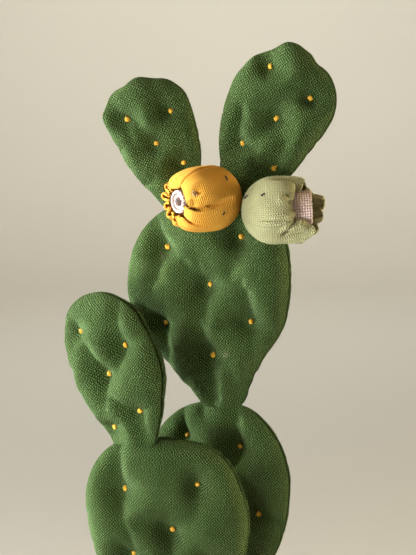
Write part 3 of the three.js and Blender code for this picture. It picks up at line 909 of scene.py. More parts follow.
class CACTUS_OT_sew_pads(bpy.types.Operator):
    """Sew the six pads, stuff them and pull their tufts in"""

    bl_idname = "cactus.sew_pads"
    bl_label = "Sew Pads"

    def execute(self, context):
        settings = setting("cactus_pads")
        material = green_cloth(settings)
        jobs, sewn = [], {}
        for name, pad in PADS.items():
            panels = Panels(pad, settings.step)
            full = stuffed_height(pad, panels)
            tufts = np.array(pad["tufts"], float)
            off = np.linalg.norm(panels.flat[:, None] - tufts[None], axis=2)
            pull = np.minimum(np.exp(-(off ** 2) / (2 * settings.spread ** 2)).sum(1), 1)
            rest = panels.raised(full)
            start = panels.raised(full * (1 - settings.pull * pull))
            piece = mesh_object(f"{name}_cloth", start, panels.faces, material)
            held = [*np.nonzero(panels.seam)[0], *panels.tufts, *(int(panels.back[i]) for i in panels.tufts)]
            jobs.append((piece, start, rest, held))
            sewn[name] = (piece, panels)
        shapes = simulated(jobs, settings)
        for (name, (piece, panels)), shape in zip(sewn.items(), shapes):
            self.finish_pad(name, piece, panels, shape)
        return {"FINISHED"}

    def finish_pad(self, name, piece, panels, shape):
        pad = PADS[name]
        shape[:, 2] *= min(1, pad["half"] / np.abs(shape[:, 2]).max())
        off_seam = panels.both(nearest(panels.flat, panels.ring))
        shape[:, 2] *= 1 - np.exp(-off_seam / WELT_RISE)
        away = panels.both(panels.away())
        left, right, back = WELTS
        welt = np.where(shape[:, 2] < 0, back, left + (right - left) * smooth((away[:, 0] - 0.3) * 2.5))
        welt *= (1 - np.exp(-off_seam / WELT_EDGE)) * np.exp(-((off_seam / WELT_REACH) ** 2))
        shape[:, :2] += away * welt[:, None]
        uneven = sum(tall * lumps(panels.flat, size, pad["foot"][2]) for size, tall in LUMPS)
        run = panels.run_at()
        apart, tall = PUCKERS
        pucker = tall * np.sin(2 * np.pi * run / apart + 2 * uneven) * panels.fading(PUCKER_REACH)
        folds = FOLD_PRESS * fold_depth(pad["folds"], panels.flat)
        if "carrier" in pad:
            folds *= smooth(panels.flat[:, 1] / FOOT_CALM)
        depth = panels.both(folds + uneven + pucker)
        shape[:, 2] -= np.sign(shape[:, 2]) * np.minimum(depth, FOLD_LIMIT * np.abs(shape[:, 2]))
        matrix = pad_matrix(pad)
        points = placed(matrix, shape)
        if "carrier" in pad:
            carrier = tree_of(bpy.data.objects[f"{pad['carrier']}_cloth"])
            aside = smooth(np.abs(shape[:, 2]) / 6)
            local = np.column_stack([np.zeros(len(shape)), 1 - aside, np.sign(shape[:, 2]) * aside])
            ways = local @ np.array(matrix)[:3, :3].T
            low = shape[:, 1] < FOOT_SET
            points[low] = pushed_out(points[low], ways[low], carrier, TOUCH * MM, FOOT_SET * MM)
        set_points(piece, points)
        store(piece, "cloth", cloth_coordinates(pad, panels))
        # A mask of painted shade along the seam: 1 on the seam, fading out within twice the reach.
        store(piece, "furrow", 1 - smooth(off_seam / (2 * SEAM_SHADE_REACH)), "FLOAT")
        piece["tufts"] = [list(points[i]) for t in panels.tufts for i in (t, int(panels.back[t]))]
        seam = set(np.nonzero(panels.seam)[0])
        sharp = piece.data.attributes.new("crease_edge", "FLOAT", "EDGE")
        sharp.data.foreach_set("value", [float(seam.issuperset(edge.vertices)) for edge in piece.data.edges])
        subdivided(piece)
        keep(piece, "green_cloth", name)


THREAD_LAY = 2.4  # how fast a thread's plies turn, in radians a millimetre
KNOT_TURNS, KNOT_STEPS = 2.6, 52


def knot_path(size):
    """A thread wound round itself, whose two ends dive into the cloth."""
    turn = np.linspace(0, 2 * np.pi * KNOT_TURNS, KNOT_STEPS)
    along = np.linspace(-0.75, 0.75, KNOT_STEPS)
    swell = 0.72 + 0.28 * np.cos(along * 1.6)
    coil = np.stack([along, swell * np.cos(turn), swell * np.sin(turn) * 0.9], 1)
    ends = np.array([[-0.95, 0.2, -0.7], [-1.0, 0.1, -1.6]])
    return np.vstack([ends[::-1], coil, ends * (-1, 1, 1)]) * size


class CACTUS_OT_tie_knots(bpy.types.Operator):
    """Tie a knot of thread in each tuft, on both faces of each pad"""

    bl_idname = "cactus.tie_knots"
    bl_label = "Tie Knots"

    def execute(self, context):
        settings = setting("cactus_knots")
        material = thread_material("Tufting Thread", settings.thread, settings.dark)
        rng = random.Random(SEED)
        for name, pad in PADS.items():
            parts = Parts()
            out = np.array(pad_matrix(pad))[:3, 2]
            seats = np.array(bpy.data.objects[f"{name}_cloth"]["tufts"])
            for i, seat in enumerate(seats):
                side = Vector(out * (1 if i % 2 == 0 else -1))
                turn = side.to_track_quat("Z", "Y").to_matrix() @ Matrix.Rotation(rng.uniform(0, 6.28), 3, "Z")
                tip = Matrix.Rotation(rng.uniform(-0.5, 0.5), 3, "X")
                tip = tip @ Matrix.Rotation(rng.uniform(-0.5, 0.5), 3, "Y")
                way = np.array(turn @ tip)
                stretch = np.array([rng.uniform(0.8, 1.25), rng.uniform(0.8, 1.1), 1])
                paths = [knot_path(settings.size) * stretch]
                for _ in range(rng.choice((0, 0, 0, 1))):
                    angle, length = rng.uniform(0, 6.28), rng.uniform(0.4, 1.2)
                    reach = np.linspace(0.3, 1, 7)[:, None]
                    bend = np.array([math.cos(angle), math.sin(angle), 0.25]) * (settings.size + length)
                    lift = np.array([0, 0, -0.9]) * reach ** 2
                    paths.append(bend * reach + lift)
                centre = seat + np.array(side) * settings.size * 0.75 * MM
                for path in paths:
                    points, faces = thread(path, settings.radius, THREAD_LAY)
                    parts.add((points @ way.T) * MM + centre, faces)
            piece = mesh_object(f"{name}_knots", parts.points, parts.faces, material)
            keep(piece, "yellow_thread")
        return {"FINISHED"}


# ---- Fruits ---------------------------------------------------------------------------------------------------

# A fruit lies on its side and its mouth opens along axis. Angles round the axis are in degrees from the side that
# faces the viewer, upwards. A lobe is one fold of its gathered cloth: the angles between which it leaves the belly,
# where its creases start, and its lip as points of (angle, distance from the axis, reach along the axis).
# A pleat is a lobe given by its crown's distance, its reach and how much it narrows towards its base.
# A stroke is a valley or, where it is higher than 0, a ridge pressed into the cloth between two points of (angle,
# reach): its width and height are in millimetres.
FRUITS = {
    "mustard_fruit": dict(
        middle=(6.1, -11.5, 343), axis=(-0.61, -0.78, -0.02), length=40, radius=17.8, belly=16.5, shoulder=2.8,
        lobes=(
            (-24, 54, 19.4, ((-31.3, 9.5, 35.8), (-20.7, 8.3, 37), (-6.6, 7.1, 37.8), (10, 6.8, 38),
                           (34.6, 7.2, 37.8),
                           (62.7, 8.1, 37), (67.2, 9.1, 35.6))),
            (54, 128, 19.4, ((68, 7.6, 35.6), (72, 7.3, 36.8), (97, 7.1, 37.4), (118, 8.4, 37.8), (127, 10.8, 37.4),
                           (131, 13.2, 36.6), (133, 11, 36), (132, 8, 35.8))),
            (128, 150, 28.4, (14.8, 37, 0.15)),
            (150, 172, 29.4, (15.4, 37.8, 0.15)),
            (172, 194, 29.4, (13.8, 37.4, 0.15)),
            (194, 216, 29.4, (14.2, 37.2, 0.15)),
            (216, 238, 29.4, (12.8, 36.8, 0.15)),
            (238, 298, 24.4, ((236, 7.8, 35.8), (240, 10.4, 36.6), (247, 9.8, 37), (256, 8.2, 36.6),
                            (263, 9.4, 36.8),
                            (270, 9, 36), (271, 7.8, 34.8))),
            (298, 336, 22.4, ((281, 8.4, 35), (285, 7.2, 36.4), (298, 6.4, 37.2), (313, 6.2, 37.4), (328, 6.4, 37),
                            (333, 7.4, 35.6))),
        ),
        strokes=(
            ((54, 37.4), (66, 17.4), 0.9, -2.4), ((49, 35.4), (60, 19.4), 1.4, 0.8),
            ((-25, 35.4), (-9, 15.4), 1.3, -4.2), ((-13, 34.4), (0, 21.4), 2.0, 1.8),
            ((-62, 35.4), (-66, 21.4), 1.1, -3.2), ((-55, 35.4), (-58, 22.4), 1.3, 1.0),
            ((12, 34.6), (17, 33.4), 1.9, -2.8), ((0, 33.4), (6, 25.4), 1.5, 1.0),
            ((28, 35), (34, 27), 1.6, 0.8),
        ),
        cloth=1.4,
    ),
    "sage_fruit": dict(
        middle=(46.3, -6.5, 337.7), axis=(0.97, 0.22, 0.07), length=40, radius=17.2, belly=16.5, shoulder=2.4,
        lobes=(
            (-32, 64, 14.8, ((-31, 10.2, 23.8), (-27, 10.4, 26), (-6, 10, 25.2), (15, 10, 25.8), (32, 10.5, 26.5),
                           (54, 11.8, 27.3), (66, 13.6, 27.6), (70, 12.2, 26.4), (66, 10.2, 25))),
            (64, 122, 16.8, ((61, 9.6, 26.4), (60, 10, 30), (64, 11.8, 32), (73, 13.8, 32.7), (88, 14.4, 32.8),
                           (105, 14, 33), (118, 12, 33.8), (123, 9.8, 33.8))),
            (122, 150, 22.8, ((127, 10.4, 35.4), (139, 11, 37.4), (148, 10.2, 37.4))),
            (150, 180, 24.8, (15.6, 43.4, 0.9)),
            (180, 214, 24.8, (15, 42, 0.9)),
            (214, 252, 22.8, ((216, 10, 36.8), (222, 12.4, 38.4), (236, 13.6, 38.8), (246, 13, 37.8),
                (251, 11, 34.8))),
            (252, 328, 14.8, ((253, 13, 32.8), (258, 16, 31.6), (271, 18, 30.4), (284, 18.4, 31.4),
                            (296, 17.4, 34.4),
                            (303, 15.2, 37.8), (307, 13, 36.4), (313, 11.6, 32.8), (321, 10.6, 28.8),
                                (327, 10.2, 25.4))),
        ),
        strokes=(
            ((-23, 26.8), (-21, 9.8), 0.9, -2.8), ((-15, 25.8), (-14, 12.8), 1.6, 1.0),
            ((-23, 26.4), (-43, 18.4), 1.2, 1.5), ((-31, 27.4), (-49, 21.4), 1.2, -1.2),
            ((-54, 22.4), (-62, 33), 2.6, -4.6), ((-74, 23.8), (-76, 31.8), 1.3, 0.8),
            ((-44, 29.8), (-52, 33), 1.1, 1.0),
            ((66, 27.8), (64, 16.8), 2.5, -3.0), ((55, 26.8), (54, 17.8), 1.3, 0.9),
            ((25, 23.4), (18, 24.2), 0.9, -2.4), ((9, 24.2), (3, 25.8), 0.9, -2.6),
            ((14, 20), (8, 22), 1.8, 0.9),
        ),
        cloth=1.0,
    ),
}
ROLLS = {
    "mustard_roll": dict(fruit="mustard_fruit", start=26.5, length=11, hole=1.3, turns=1.9, cloth=2, off=(-1.9, 0.7)),
    "sage_roll": dict(fruit="sage_fruit", start=20.3, length=16.6, hole=1.2, turns=3.4, cloth=2, off=(0, 0)),
}
PLEAT_BASE, PLEAT_OPENING = 9.0, 0.45  # a pleat's foot, from the axis in mm, and how far its loop opens, in radians
ROLL_SUNK, ROLL_STEPS = 1.2, 44  # how deep a roll's middle lies in its end, in mm, and its steps a turn
STRIP_FILL = 0.94  # a rolled strip's thickness over the spacing of its turns
COLUMN_STEP, ROWS_ROUND, ROWS_MOUTH = 0.42, 18, 42


def fruit_matrix(fruit):
    """The fruit's own frame at its round end: X along the axis, Y towards the viewer's side, Z up."""
    along = Vector(fruit["axis"]).normalized()
    viewer = Vector(CAMERA_WAY)
    front = (viewer - along * viewer.dot(along)).normalized()
    up = along.cross(front)
    if up.z < 0:
        up = -up
    end = Vector(fruit["middle"]) - along * fruit["length"] / 2
    turn = Matrix((along, front, up)).transposed().to_4x4()
    return Matrix.Translation(end) @ turn


def pleat(first, last, crown, reach, narrowing, rng):
    """A pleat's lip: an open loop that leans a little to one side."""
    middle, half = (first + last) / 2, (last - first) / 2
    lean, points = rng.uniform(-0.3, 0.3), []
    for share in np.linspace(-1, 1, 9):
        turn = share * (math.pi / 2 + PLEAT_OPENING)
        out = (math.cos(turn) + math.sin(PLEAT_OPENING)) / (1 + math.sin(PLEAT_OPENING))
        away = PLEAT_BASE + (crown - PLEAT_BASE) * out
        width = half * 1.05 * (PLEAT_BASE / away) ** narrowing
        points.append((middle + (math.sin(turn) * width + lean * out * half), away, reach - 0.8 * (1 - out)))
    return points


def flat_polar(angle, radius):
    return radius * math.cos(math.radians(angle)), radius * math.sin(math.radians(angle))


def mouth_edge(fruit):
    """The gathered lip's points: across, up, reach, the start of their crease, and their angle at the belly."""
    rng = random.Random(SEED)
    lobes = [
        (first, last, crease, lip if isinstance(lip[0], tuple) else pleat(first, last, *lip, rng))
        for first, last, crease, lip in fruit["lobes"]
    ]
    rows = []
    for k, (first, last, crease, lip) in enumerate(lobes):
        before, after = lobes[k - 1][3][-1], lobes[(k + 1) % len(lobes)][3][0]
        line = np.array([(*flat_polar(a, r), reach) for a, r, reach in (before, *lip, after)])
        fine = np.vstack([catmull(line[i:i + 4], 12) for i in range(len(line) - 3)] + [line[-2:-1]])
        along = np.concatenate([[0], np.cumsum(np.linalg.norm(np.diff(fine, axis=0), axis=1))])
        count = max(6, round(along[-1] / COLUMN_STEP))
        share = (np.arange(count) + 0.5) / count
        at = share * along[-1]
        lip_points = [np.interp(at, along, fine[:, c]) for c in range(3)]
        rows.append(np.column_stack([*lip_points, np.full(count, crease), first + (last - first) * share]))
    return np.vstack(rows)


def catmull(four, count):
    """The stretch between the middle two of four points of a Catmull-Rom curve, without its last point."""
    a, b, c, d = four
    t = np.linspace(0, 1, count, endpoint=False)[:, None]
    return 0.5 * (2 * b + (c - a) * t + (2 * a - 5 * b + 4 * c - d) * t ** 2 + (3 * b - a - 3 * c + d) * t ** 3)


def smoothed(ring, times, width):
    for _ in range(times):
        ring = (np.roll(ring, width, 0) + 2 * ring + np.roll(ring, -width, 0)) / 4
    return ring


def stroked(fruit, grid, angles):
    """The rows of points with the fruit's strokes pressed into them."""
    around = np.roll(grid, -1, 1) - np.roll(grid, 1, 1)
    out = np.cross(around, np.gradient(grid, axis=0))
    out /= np.maximum(np.linalg.norm(out, axis=2), 1e-9)[..., None]
    arc = math.radians(fruit["radius"])
    height = np.zeros(grid.shape[:2])
    for (angle, reach), (last_angle, last_reach), width, rise in fruit["strokes"]:
        turn = (angles - angle + 180) % 360 - 180
        at = np.stack([np.broadcast_to(turn * arc, height.shape), grid[..., 0] - reach], -1)
        way = np.array([(last_angle - angle) * arc, last_reach - reach])
        share = np.clip((at @ way) / (way @ way), 0, 1)
        off = np.linalg.norm(at - share[..., None] * way, axis=2)
        fading = 1 - 0.75 * share ** 2
        height += rise * fading * np.exp(-(off / width) ** 2)
    return grid + out * height[..., None]


def gathered_cover(fruit):
    """The fruit's cloth from its round end to its gathered lip, in its own frame, with its cloth coordinates."""
    edge = mouth_edge(fruit)
    n = len(edge)
    even = np.radians(edge[:, 4])
    out = np.column_stack([np.cos(even), np.sin(even)])
    radius, belly, power = fruit["radius"], fruit["belly"], 2 / fruit["shoulder"]
    rows = []
    for k in range(1, ROWS_ROUND + 1):
        turn = k / ROWS_ROUND * math.pi / 2
        rows.append(np.column_stack([np.full(n, belly * (1 - math.cos(turn))), radius * math.sin(turn) * out]))
    lip = edge[:, :2]
    broad = smoothed(np.column_stack([np.hypot(lip[:, 0], lip[:, 1]), edge[:, 2]]), 60, 2)
    for k in range(1, ROWS_MOUTH + 1):
        turn = k / ROWS_MOUTH * math.pi / 2
        reach_share, round_share = math.sin(turn) ** power, math.cos(turn) ** power
        level = belly + (edge[:, 2] - belly) * reach_share
        fold = smooth((level - edge[:, 3]) / (edge[:, 2] - edge[:, 3]))[:, None]
        wide = out * (broad[:, :1] + (radius - broad[:, :1]) * round_share)
        close = lip + (out * radius - lip) * round_share
        rows.append(np.column_stack([level, wide * (1 - fold) + close * fold]))
    grid = stroked(fruit, np.array(rows), edge[:, 4])
    points = np.vstack([[0, 0, 0], grid.reshape(-1, 3)])
    faces = [(0, 1 + (j + 1) % n, 1 + j) for j in range(n)]
    for i in range(len(rows) - 1):
        a, b = 1 + i * n, 1 + (i + 1) * n
        faces += [(a + j, a + (j + 1) % n, b + (j + 1) % n, b + j) for j in range(n)]
    run = np.vstack([np.zeros(n), np.cumsum(np.linalg.norm(np.diff(grid, axis=0), axis=2), 0)])
    cloth = [np.column_stack([even * radius, np.full(n, 1.0) + s, np.zeros(n)]) for s in run]
    return points, faces, np.vstack([[0, 0, 0], *cloth])


class CACTUS_OT_gather_fruits(bpy.types.Operator):
    """Gather the two fruits' cloth round their rolled strips"""

    bl_idname = "cactus.gather_fruits"
    bl_label = "Gather Fruits"

    def execute(self, context):
        settings = setting("cactus_fruits")
        materials = {
            "mustard_fruit": ribbed_cloth(
                "Mustard Rib", settings.mustard, settings.mustard_shade, settings.mustard_light, 0.6, 1.05, 0.0, 0.7
            ),
            "sage_fruit": ribbed_cloth(
                "Sage Twill", settings.sage, settings.sage_shade, settings.sage_light, 1.0, 1.25, 0.5, 0.3
            ),
        }
        beside = ("middle_pad", "top_left_pad", "top_right_pad")
        neighbours = [tree_of(bpy.data.objects[f"{pad}_cloth"]) for pad in beside]
        for name, fruit in FRUITS.items():
            points, faces, cloth = gathered_cover(fruit)
            matrix = fruit_matrix(fruit)
            points = placed(matrix, points)
            centre = np.array(matrix @ Vector((fruit["belly"], 0, 0))) * MM
            for tree in neighbours:
                points = pushed_out(points, centre - points, tree, TOUCH * MM, 12 * MM)
            piece = mesh_object(f"{name}_cloth", points, faces, materials[name])
            store(piece, "cloth", cloth)
            solid = piece.modifiers.new("Thickness", "SOLIDIFY")
            solid.thickness, solid.offset = fruit["cloth"] * MM, -1
            applied(piece)
            keep(piece, name.replace("fruit", "cloth"), name)
        return {"FINISHED"}


class CACTUS_OT_roll_strips(bpy.types.Operator):
    """Roll a strip of cloth for each fruit's mouth"""

    bl_idname = "cactus.roll_strips"
    bl_label = "Roll Strips"

    def execute(self, context):
        settings = setting("cactus_fruits")
        looks = {
            "mustard_roll": ribbed_cloth(
                "Cream Knit", settings.cream, settings.pink, settings.cream, 1.1, 1.3, 0.5, 0.1
            ),
            "sage_roll": ribbed_cloth(
                "Pink Check", settings.pink, settings.pink_shade, settings.cream, 1.3, 1.3, 0.0, 0.1
            ),
        }
        for name, roll in ROLLS.items():
            matrix = fruit_matrix(FRUITS[roll["fruit"]])
            thick = roll["cloth"]
            steps = round(roll["turns"] * ROLL_STEPS)
            turn = np.linspace(0, roll["turns"] * 2 * np.pi, steps + 1)
            r = roll["hole"] + thick * (0.5 + turn / (2 * np.pi))
            spiral = np.stack([r * np.cos(turn), r * np.sin(turn)], 1) + roll["off"]
            run = np.concatenate([[0], np.cumsum(np.linalg.norm(np.diff(spiral, axis=0), axis=1))])
            out = np.gradient(spiral, axis=0)
            out = np.stack([out[:, 1], -out[:, 0]], 1) / np.linalg.norm(out, axis=1)[:, None]
            section = self.section(roll["start"], roll["length"], thick * STRIP_FILL)
            points, cloth = [], []
            for (y, z), (wy, wz), s in zip(spiral, out, run):
                sunk = ROLL_SUNK * (1 - s / run[-1])
                points += [(x - sunk, y + wy * w, z + wz * w) for x, w in section]
                cloth += [(s, x + w, 0) for x, w in section]
            m = len(section)
            faces = [
                (i * m + j, i * m + (j + 1) % m, (i + 1) * m + (j + 1) % m, (i + 1) * m + j)
                for i in range(steps)
                for j in range(m)
            ]
            faces += [tuple(range(m))[::-1], tuple(range(steps * m, (steps + 1) * m))]
            piece = mesh_object(f"{name}_strip", placed(matrix, np.array(points)), faces, looks[name])
            store(piece, "cloth", cloth)
            keep(piece, "pink_cloth", name)
        return {"FINISHED"}

    @staticmethod
    def section(start, length, thick):
        """The strip's rounded section: along the axis, and across its thickness."""
        half, bend = thick / 2, []
        for k in range(9):
            turn = math.pi * (k / 8 - 0.5)
            bend.append((math.cos(turn) * half, math.sin(turn) * half))
        low, high = start + half, start + length - half
        side = list(np.linspace(low, high, 12)[1:-1])
        top = [(high + x, w) for x, w in bend]
        bottom = [(low - x, -w) for x, w in bend]
        return [*top, *((x, half) for x in side[::-1]), *bottom, *((x, -half) for x in side)]


# ---- Stitches and loose ends ----------------------------------------------------------------------------------

# Each thread lies on its piece where the photograph shows it, along points that are pixels of the photograph.
STITCHES = {
    "mustard_stitches": dict(
        on="mustard_fruit_cloth", slot="black_thread", radius=0.5,
        paths=(((225.1, 175.8), (227.3, 180.8)), ((224.4, 211.6), (222.3, 215))),
    ),
    "sage_stitches": dict(
        on="sage_fruit_cloth", slot="black_thread", radius=0.6,
        paths=(((261.4, 196.2), (264.8, 193.8)), ((244.8, 199), (248, 195.4))),
    ),
    "mustard_loose_ends": dict(
        on="mustard_fruit_cloth", slot="pale_thread", radius=0.2,
        paths=(((192, 190.5), (194.5, 192.3), (197.2, 196)), ((191.6, 192.4), (193.8, 195.2), (194.8, 197.4))),
    ),
    "middle_loose_ends": dict(
        on="middle_pad_cloth", slot="pale_thread", radius=0.17,
        paths=(
            ((161, 251.5), (161.4, 255), (163.2, 258.5)),
            ((224, 353.6), (226.6, 353.2), (228, 354.8), (226.4, 356.2), (224, 355.8), (223.2, 354.4)),
        ),
    ),
    "front_loose_ends": dict(
        on="front_lower_pad_cloth", slot="black_thread", radius=0.14,
        paths=(((247.5, 511.5), (249.5, 512.6), (250.8, 515.4)), ((248.6, 514), (250.4, 513.2), (251.4, 511.2))),
    ),
}


def photo_ray(x, y):
    """The camera's place and its way through a pixel of the photograph."""
    way, across = Vector(CAMERA_WAY), Vector((math.cos(VIEW_AZIMUTH), math.sin(VIEW_AZIMUTH), 0))
    up = way.cross(across)
    to = across * (x - PHOTO_WIDTH / 2) + up * (PHOTO_HEIGHT / 2 - y)
    return VIEW_TARGET + way * VIEW_DISTANCE, (to * PIXEL_SIZE - way * VIEW_DISTANCE).normalized()


class CACTUS_OT_sew_stitches(bpy.types.Operator):
    """Sew the short black stitches on the fruits and lay the loose ends of thread"""

    bl_idname = "cactus.sew_stitches"
    bl_label = "Sew Stitches"

    def execute(self, context):
        settings = setting("cactus_knots")
        looks = {
            "black_thread": thread_material("Black Thread", settings.black, settings.black_shade),
            "pale_thread": thread_material("Pale Thread", settings.pale, settings.pale_shade),
        }
        for name, stitch in STITCHES.items():
            tree, parts = tree_of(bpy.data.objects[stitch["on"]]), Parts()
            for path in stitch["paths"]:
                line = self.laid(tree, np.array(path, float), stitch["radius"])
                points, faces = thread(line, stitch["radius"], THREAD_LAY)
                parts.add(points * MM, faces)
            piece = mesh_object(name, parts.points, parts.faces, looks[stitch["slot"]])
            keep(piece, stitch["slot"])
        return {"FINISHED"}

    @staticmethod
    def laid(tree, pixels, radius):
        """A thread's path over a piece, in millimetres, whose two ends dive into the cloth."""
        steps = 6 * (len(pixels) - 1)
        at = np.linspace(0, len(pixels) - 1, steps + 1)
        line = []
        for k, share in enumerate(at):
            pixel = [np.interp(share, range(len(pixels)), pixels[:, c]) for c in (0, 1)]
            hit, normal, *_ = tree.ray_cast(*photo_ray(*pixel))
            if hit is None:
                continue
            rise = -1.5 if k in (0, steps) else 0.7
            line.append(np.array(hit) / MM + np.array(normal) * radius * rise)
        return np.array(line)


# ---- Pot, pebbles and rods ------------------------------------------------------------------------------------

# Heights and radii in millimetres, from the middle of the underside.
POT = dict(height=110, rim=64, band=25, step=6, base=45, wall=7, floor=9)
PEBBLES = dict(top=100.5, size=(2.6, 4.4), spacing=6.2, row=0.87, layers=2, low=4.6, rise=2.6, sink=5.5)
BED = dict(foot=80.3, gap=0.6)  # the closed bed under the pebbles: its underside, and its gap to the pot


def rounded_profile(corners, radius, steps=4):
    """A turned profile whose corners are rounded: each corner is (radius from the axis, height)."""
    found = [corners[0]]
    for before, corner, after in zip(corners, corners[1:], corners[2:]):
        b, c, a = (np.array(p, float) for p in (before, corner, after))
        size = min(radius, 0.45 * np.linalg.norm(b - c), 0.45 * np.linalg.norm(a - c))
        start = c + (b - c) / np.linalg.norm(b - c) * size
        end = c + (a - c) / np.linalg.norm(a - c) * size
        for k in range(steps + 1):
            t = k / steps
            found.append(tuple((1 - t) ** 2 * start + 2 * t * (1 - t) * c + t ** 2 * end))
    return found + [corners[-1]]


def turned(profile, sides):
    points, faces = [], []
    for i, (r, z) in enumerate(profile):
        for j in range(sides):
            turn = 2 * math.pi * j / sides
            points.append((r * math.cos(turn) * MM, r * math.sin(turn) * MM, z * MM))
    for i in range(len(profile) - 1):
        for j in range(sides):
            k = (j + 1) % sides
            faces.append((i * sides + j, i * sides + k, (i + 1) * sides + k, (i + 1) * sides + j))
    faces.append(tuple(range(sides))[::-1])
    last = (len(profile) - 1) * sides
    faces.append(tuple(range(last, last + sides)))
    return points, faces


def inner_radius(z):
    return POT["base"] + (POT["rim"] - POT["base"]) * z / POT["height"] - POT["wall"]


class CACTUS_OT_throw_pot(bpy.types.Operator):
    """Throw the clay pot and give the plaster plug and the rods that stand in it their plaster and wood"""

    bl_idname = "cactus.throw_pot"
    bl_label = "Throw Pot"

    def execute(self, context):
        settings = setting("cactus_pot")
        band = POT["height"] - POT["band"]
        corners = [
            (1, 0), (POT["base"], 0), (POT["rim"] - POT["step"], band), (POT["rim"], band + 0.6),
            (POT["rim"], POT["height"]), (inner_radius(POT["height"]), POT["height"]),
            (inner_radius(POT["floor"]), POT["floor"]), (1, POT["floor"]),
        ]
        points, faces = turned(rounded_profile(corners, 2.4), 128)
        piece = mesh_object("pot_clay", points, faces, clay_material(settings))
        keep(piece, "clay", "pot")
        plaster = stone_material("Plaster", ((0.74, 0.7, 0.63), (0.84, 0.81, 0.75)), 0.9)
        wood = wood_material()
        for name, material in (
            ("plaster_plug", plaster), ("back_rod", wood), ("front_rod", wood), ("left_pin", wood),
            ("right_pin", wood)
        ):
            part = bpy.data.objects[name]
            part.data.materials.clear()
            part.data.materials.append(material)
        return {"FINISHED"}


class CACTUS_OT_lay_pebbles(bpy.types.Operator):
    """Lay the pebbles round the feet of the lower pads"""

    bl_idname = "cactus.lay_pebbles"
    bl_label = "Lay Pebbles"

    def execute(self, context):
        settings = setting("cactus_pot")
        rng = random.Random(settings.stones)
        material = stone_material("Pebbles", (
            (0.23, 0.2, 0.17), (0.42, 0.36, 0.29), (0.6, 0.54, 0.46), (0.33, 0.31, 0.3), (0.72, 0.69, 0.63),
        ))
        feet = [tree_of(bpy.data.objects[f"{pad}_cloth"]) for pad in ("back_lower_pad", "front_lower_pad")]
        ball = bmesh.new()
        bmesh.ops.create_icosphere(ball, subdivisions=2, radius=1)
        form = np.array([tuple(v.co) for v in ball.verts])
        faces = [tuple(v.index for v in f.verts) for f in ball.faces]
        ball.free()
        parts = Parts()
        spacing, reach = PEBBLES["spacing"], inner_radius(PEBBLES["top"])
        for layer in range(PEBBLES["layers"]):
            level = PEBBLES["top"] - PEBBLES["low"] + PEBBLES["rise"] * layer
            for i in range(-12, 13):
                for j in range(-12, 13):
                    x = (i + 0.5 * (j % 2) + 0.35 * layer + rng.uniform(-0.2, 0.2)) * spacing
                    y = (j * PEBBLES["row"] + 0.4 * layer + rng.uniform(-0.2, 0.2)) * spacing
                    size, mark = rng.uniform(*PEBBLES["size"]), rng.random()
                    flat, long = rng.uniform(0.55, 0.8), rng.uniform(0.8, 1.25)
                    turn = Matrix.Rotation(rng.uniform(0, 6.28), 3, "Z")
                    turn = turn @ Matrix.Rotation(rng.gauss(0, 0.3), 3, "X")
                    lift, drawn = rng.uniform(-0.8, 0.6), Vector((rng.uniform(0, 90), 0, 0))
                    if math.hypot(x, y) + size > reach or (layer and rng.random() < 0.25):
                        continue
                    centre = Vector((x, y, level + lift))
                    if any(self.too_near(tree, centre * MM, size * 0.8 * MM) for tree in feet):
                        continue
                    swell = np.array([1 + 0.22 * noise.noise(Vector(p) * 1.3 + drawn) for p in form])
                    stone = form * swell[:, None] * (size * long, size / long, size * flat)
                    parts.add((stone @ np.array(turn).T + np.array(centre)) * MM, faces, mark)
        heights = (BED["foot"], PEBBLES["top"] - PEBBLES["sink"])
        edge = [(inner_radius(z) - BED["gap"], z) for z in heights]
        bed, bed_faces = turned([(0.5, heights[0]), *edge, (0.5, heights[1])], 96)
        parts.add(bed, bed_faces, 0.1)
        piece = mesh_object("pebbles", parts.points, parts.faces, material)
        store(piece, "stone", parts.marks, "FLOAT")
        keep(piece, "pebble", "pebble_bed")
        return {"FINISHED"}

    @staticmethod
    def too_near(tree, point, reach):
        hit, normal, _, far = tree.find_nearest(point)
        return far < reach or (point - hit).dot(normal) < 0


# ---- Stage ----------------------------------------------------------------------------------------------------

PHOTO_WIDTH, PHOTO_HEIGHT = 416, 555
VIEW_AZIMUTH, VIEW_ELEVATION = math.radians(15), math.radians(10)
VIEW_DISTANCE = 0.75
VIEW_TARGET = Vector((4.3, 1.1, 298)) * MM
PIXEL_SIZE = 0.55 * MM  # one pixel of the photograph at the target
SENSOR = 36
STAGE = dict(flat=1.6, bend=0.8, top=3.0, sides=64)  # the floor's flat middle, its curve and its height, in metres
ASIDE = dict(out=0.4, up=1.6, aim=0.6)  # where the lights on the backdrop hang, and how high they aim, in metres
CAMERA_WAY = (
    math.sin(VIEW_AZIMUTH) * math.cos(VIEW_ELEVATION),
    -math.cos(VIEW_AZIMUTH) * math.cos(VIEW_ELEVATION),
    math.sin(VIEW_ELEVATION),
)


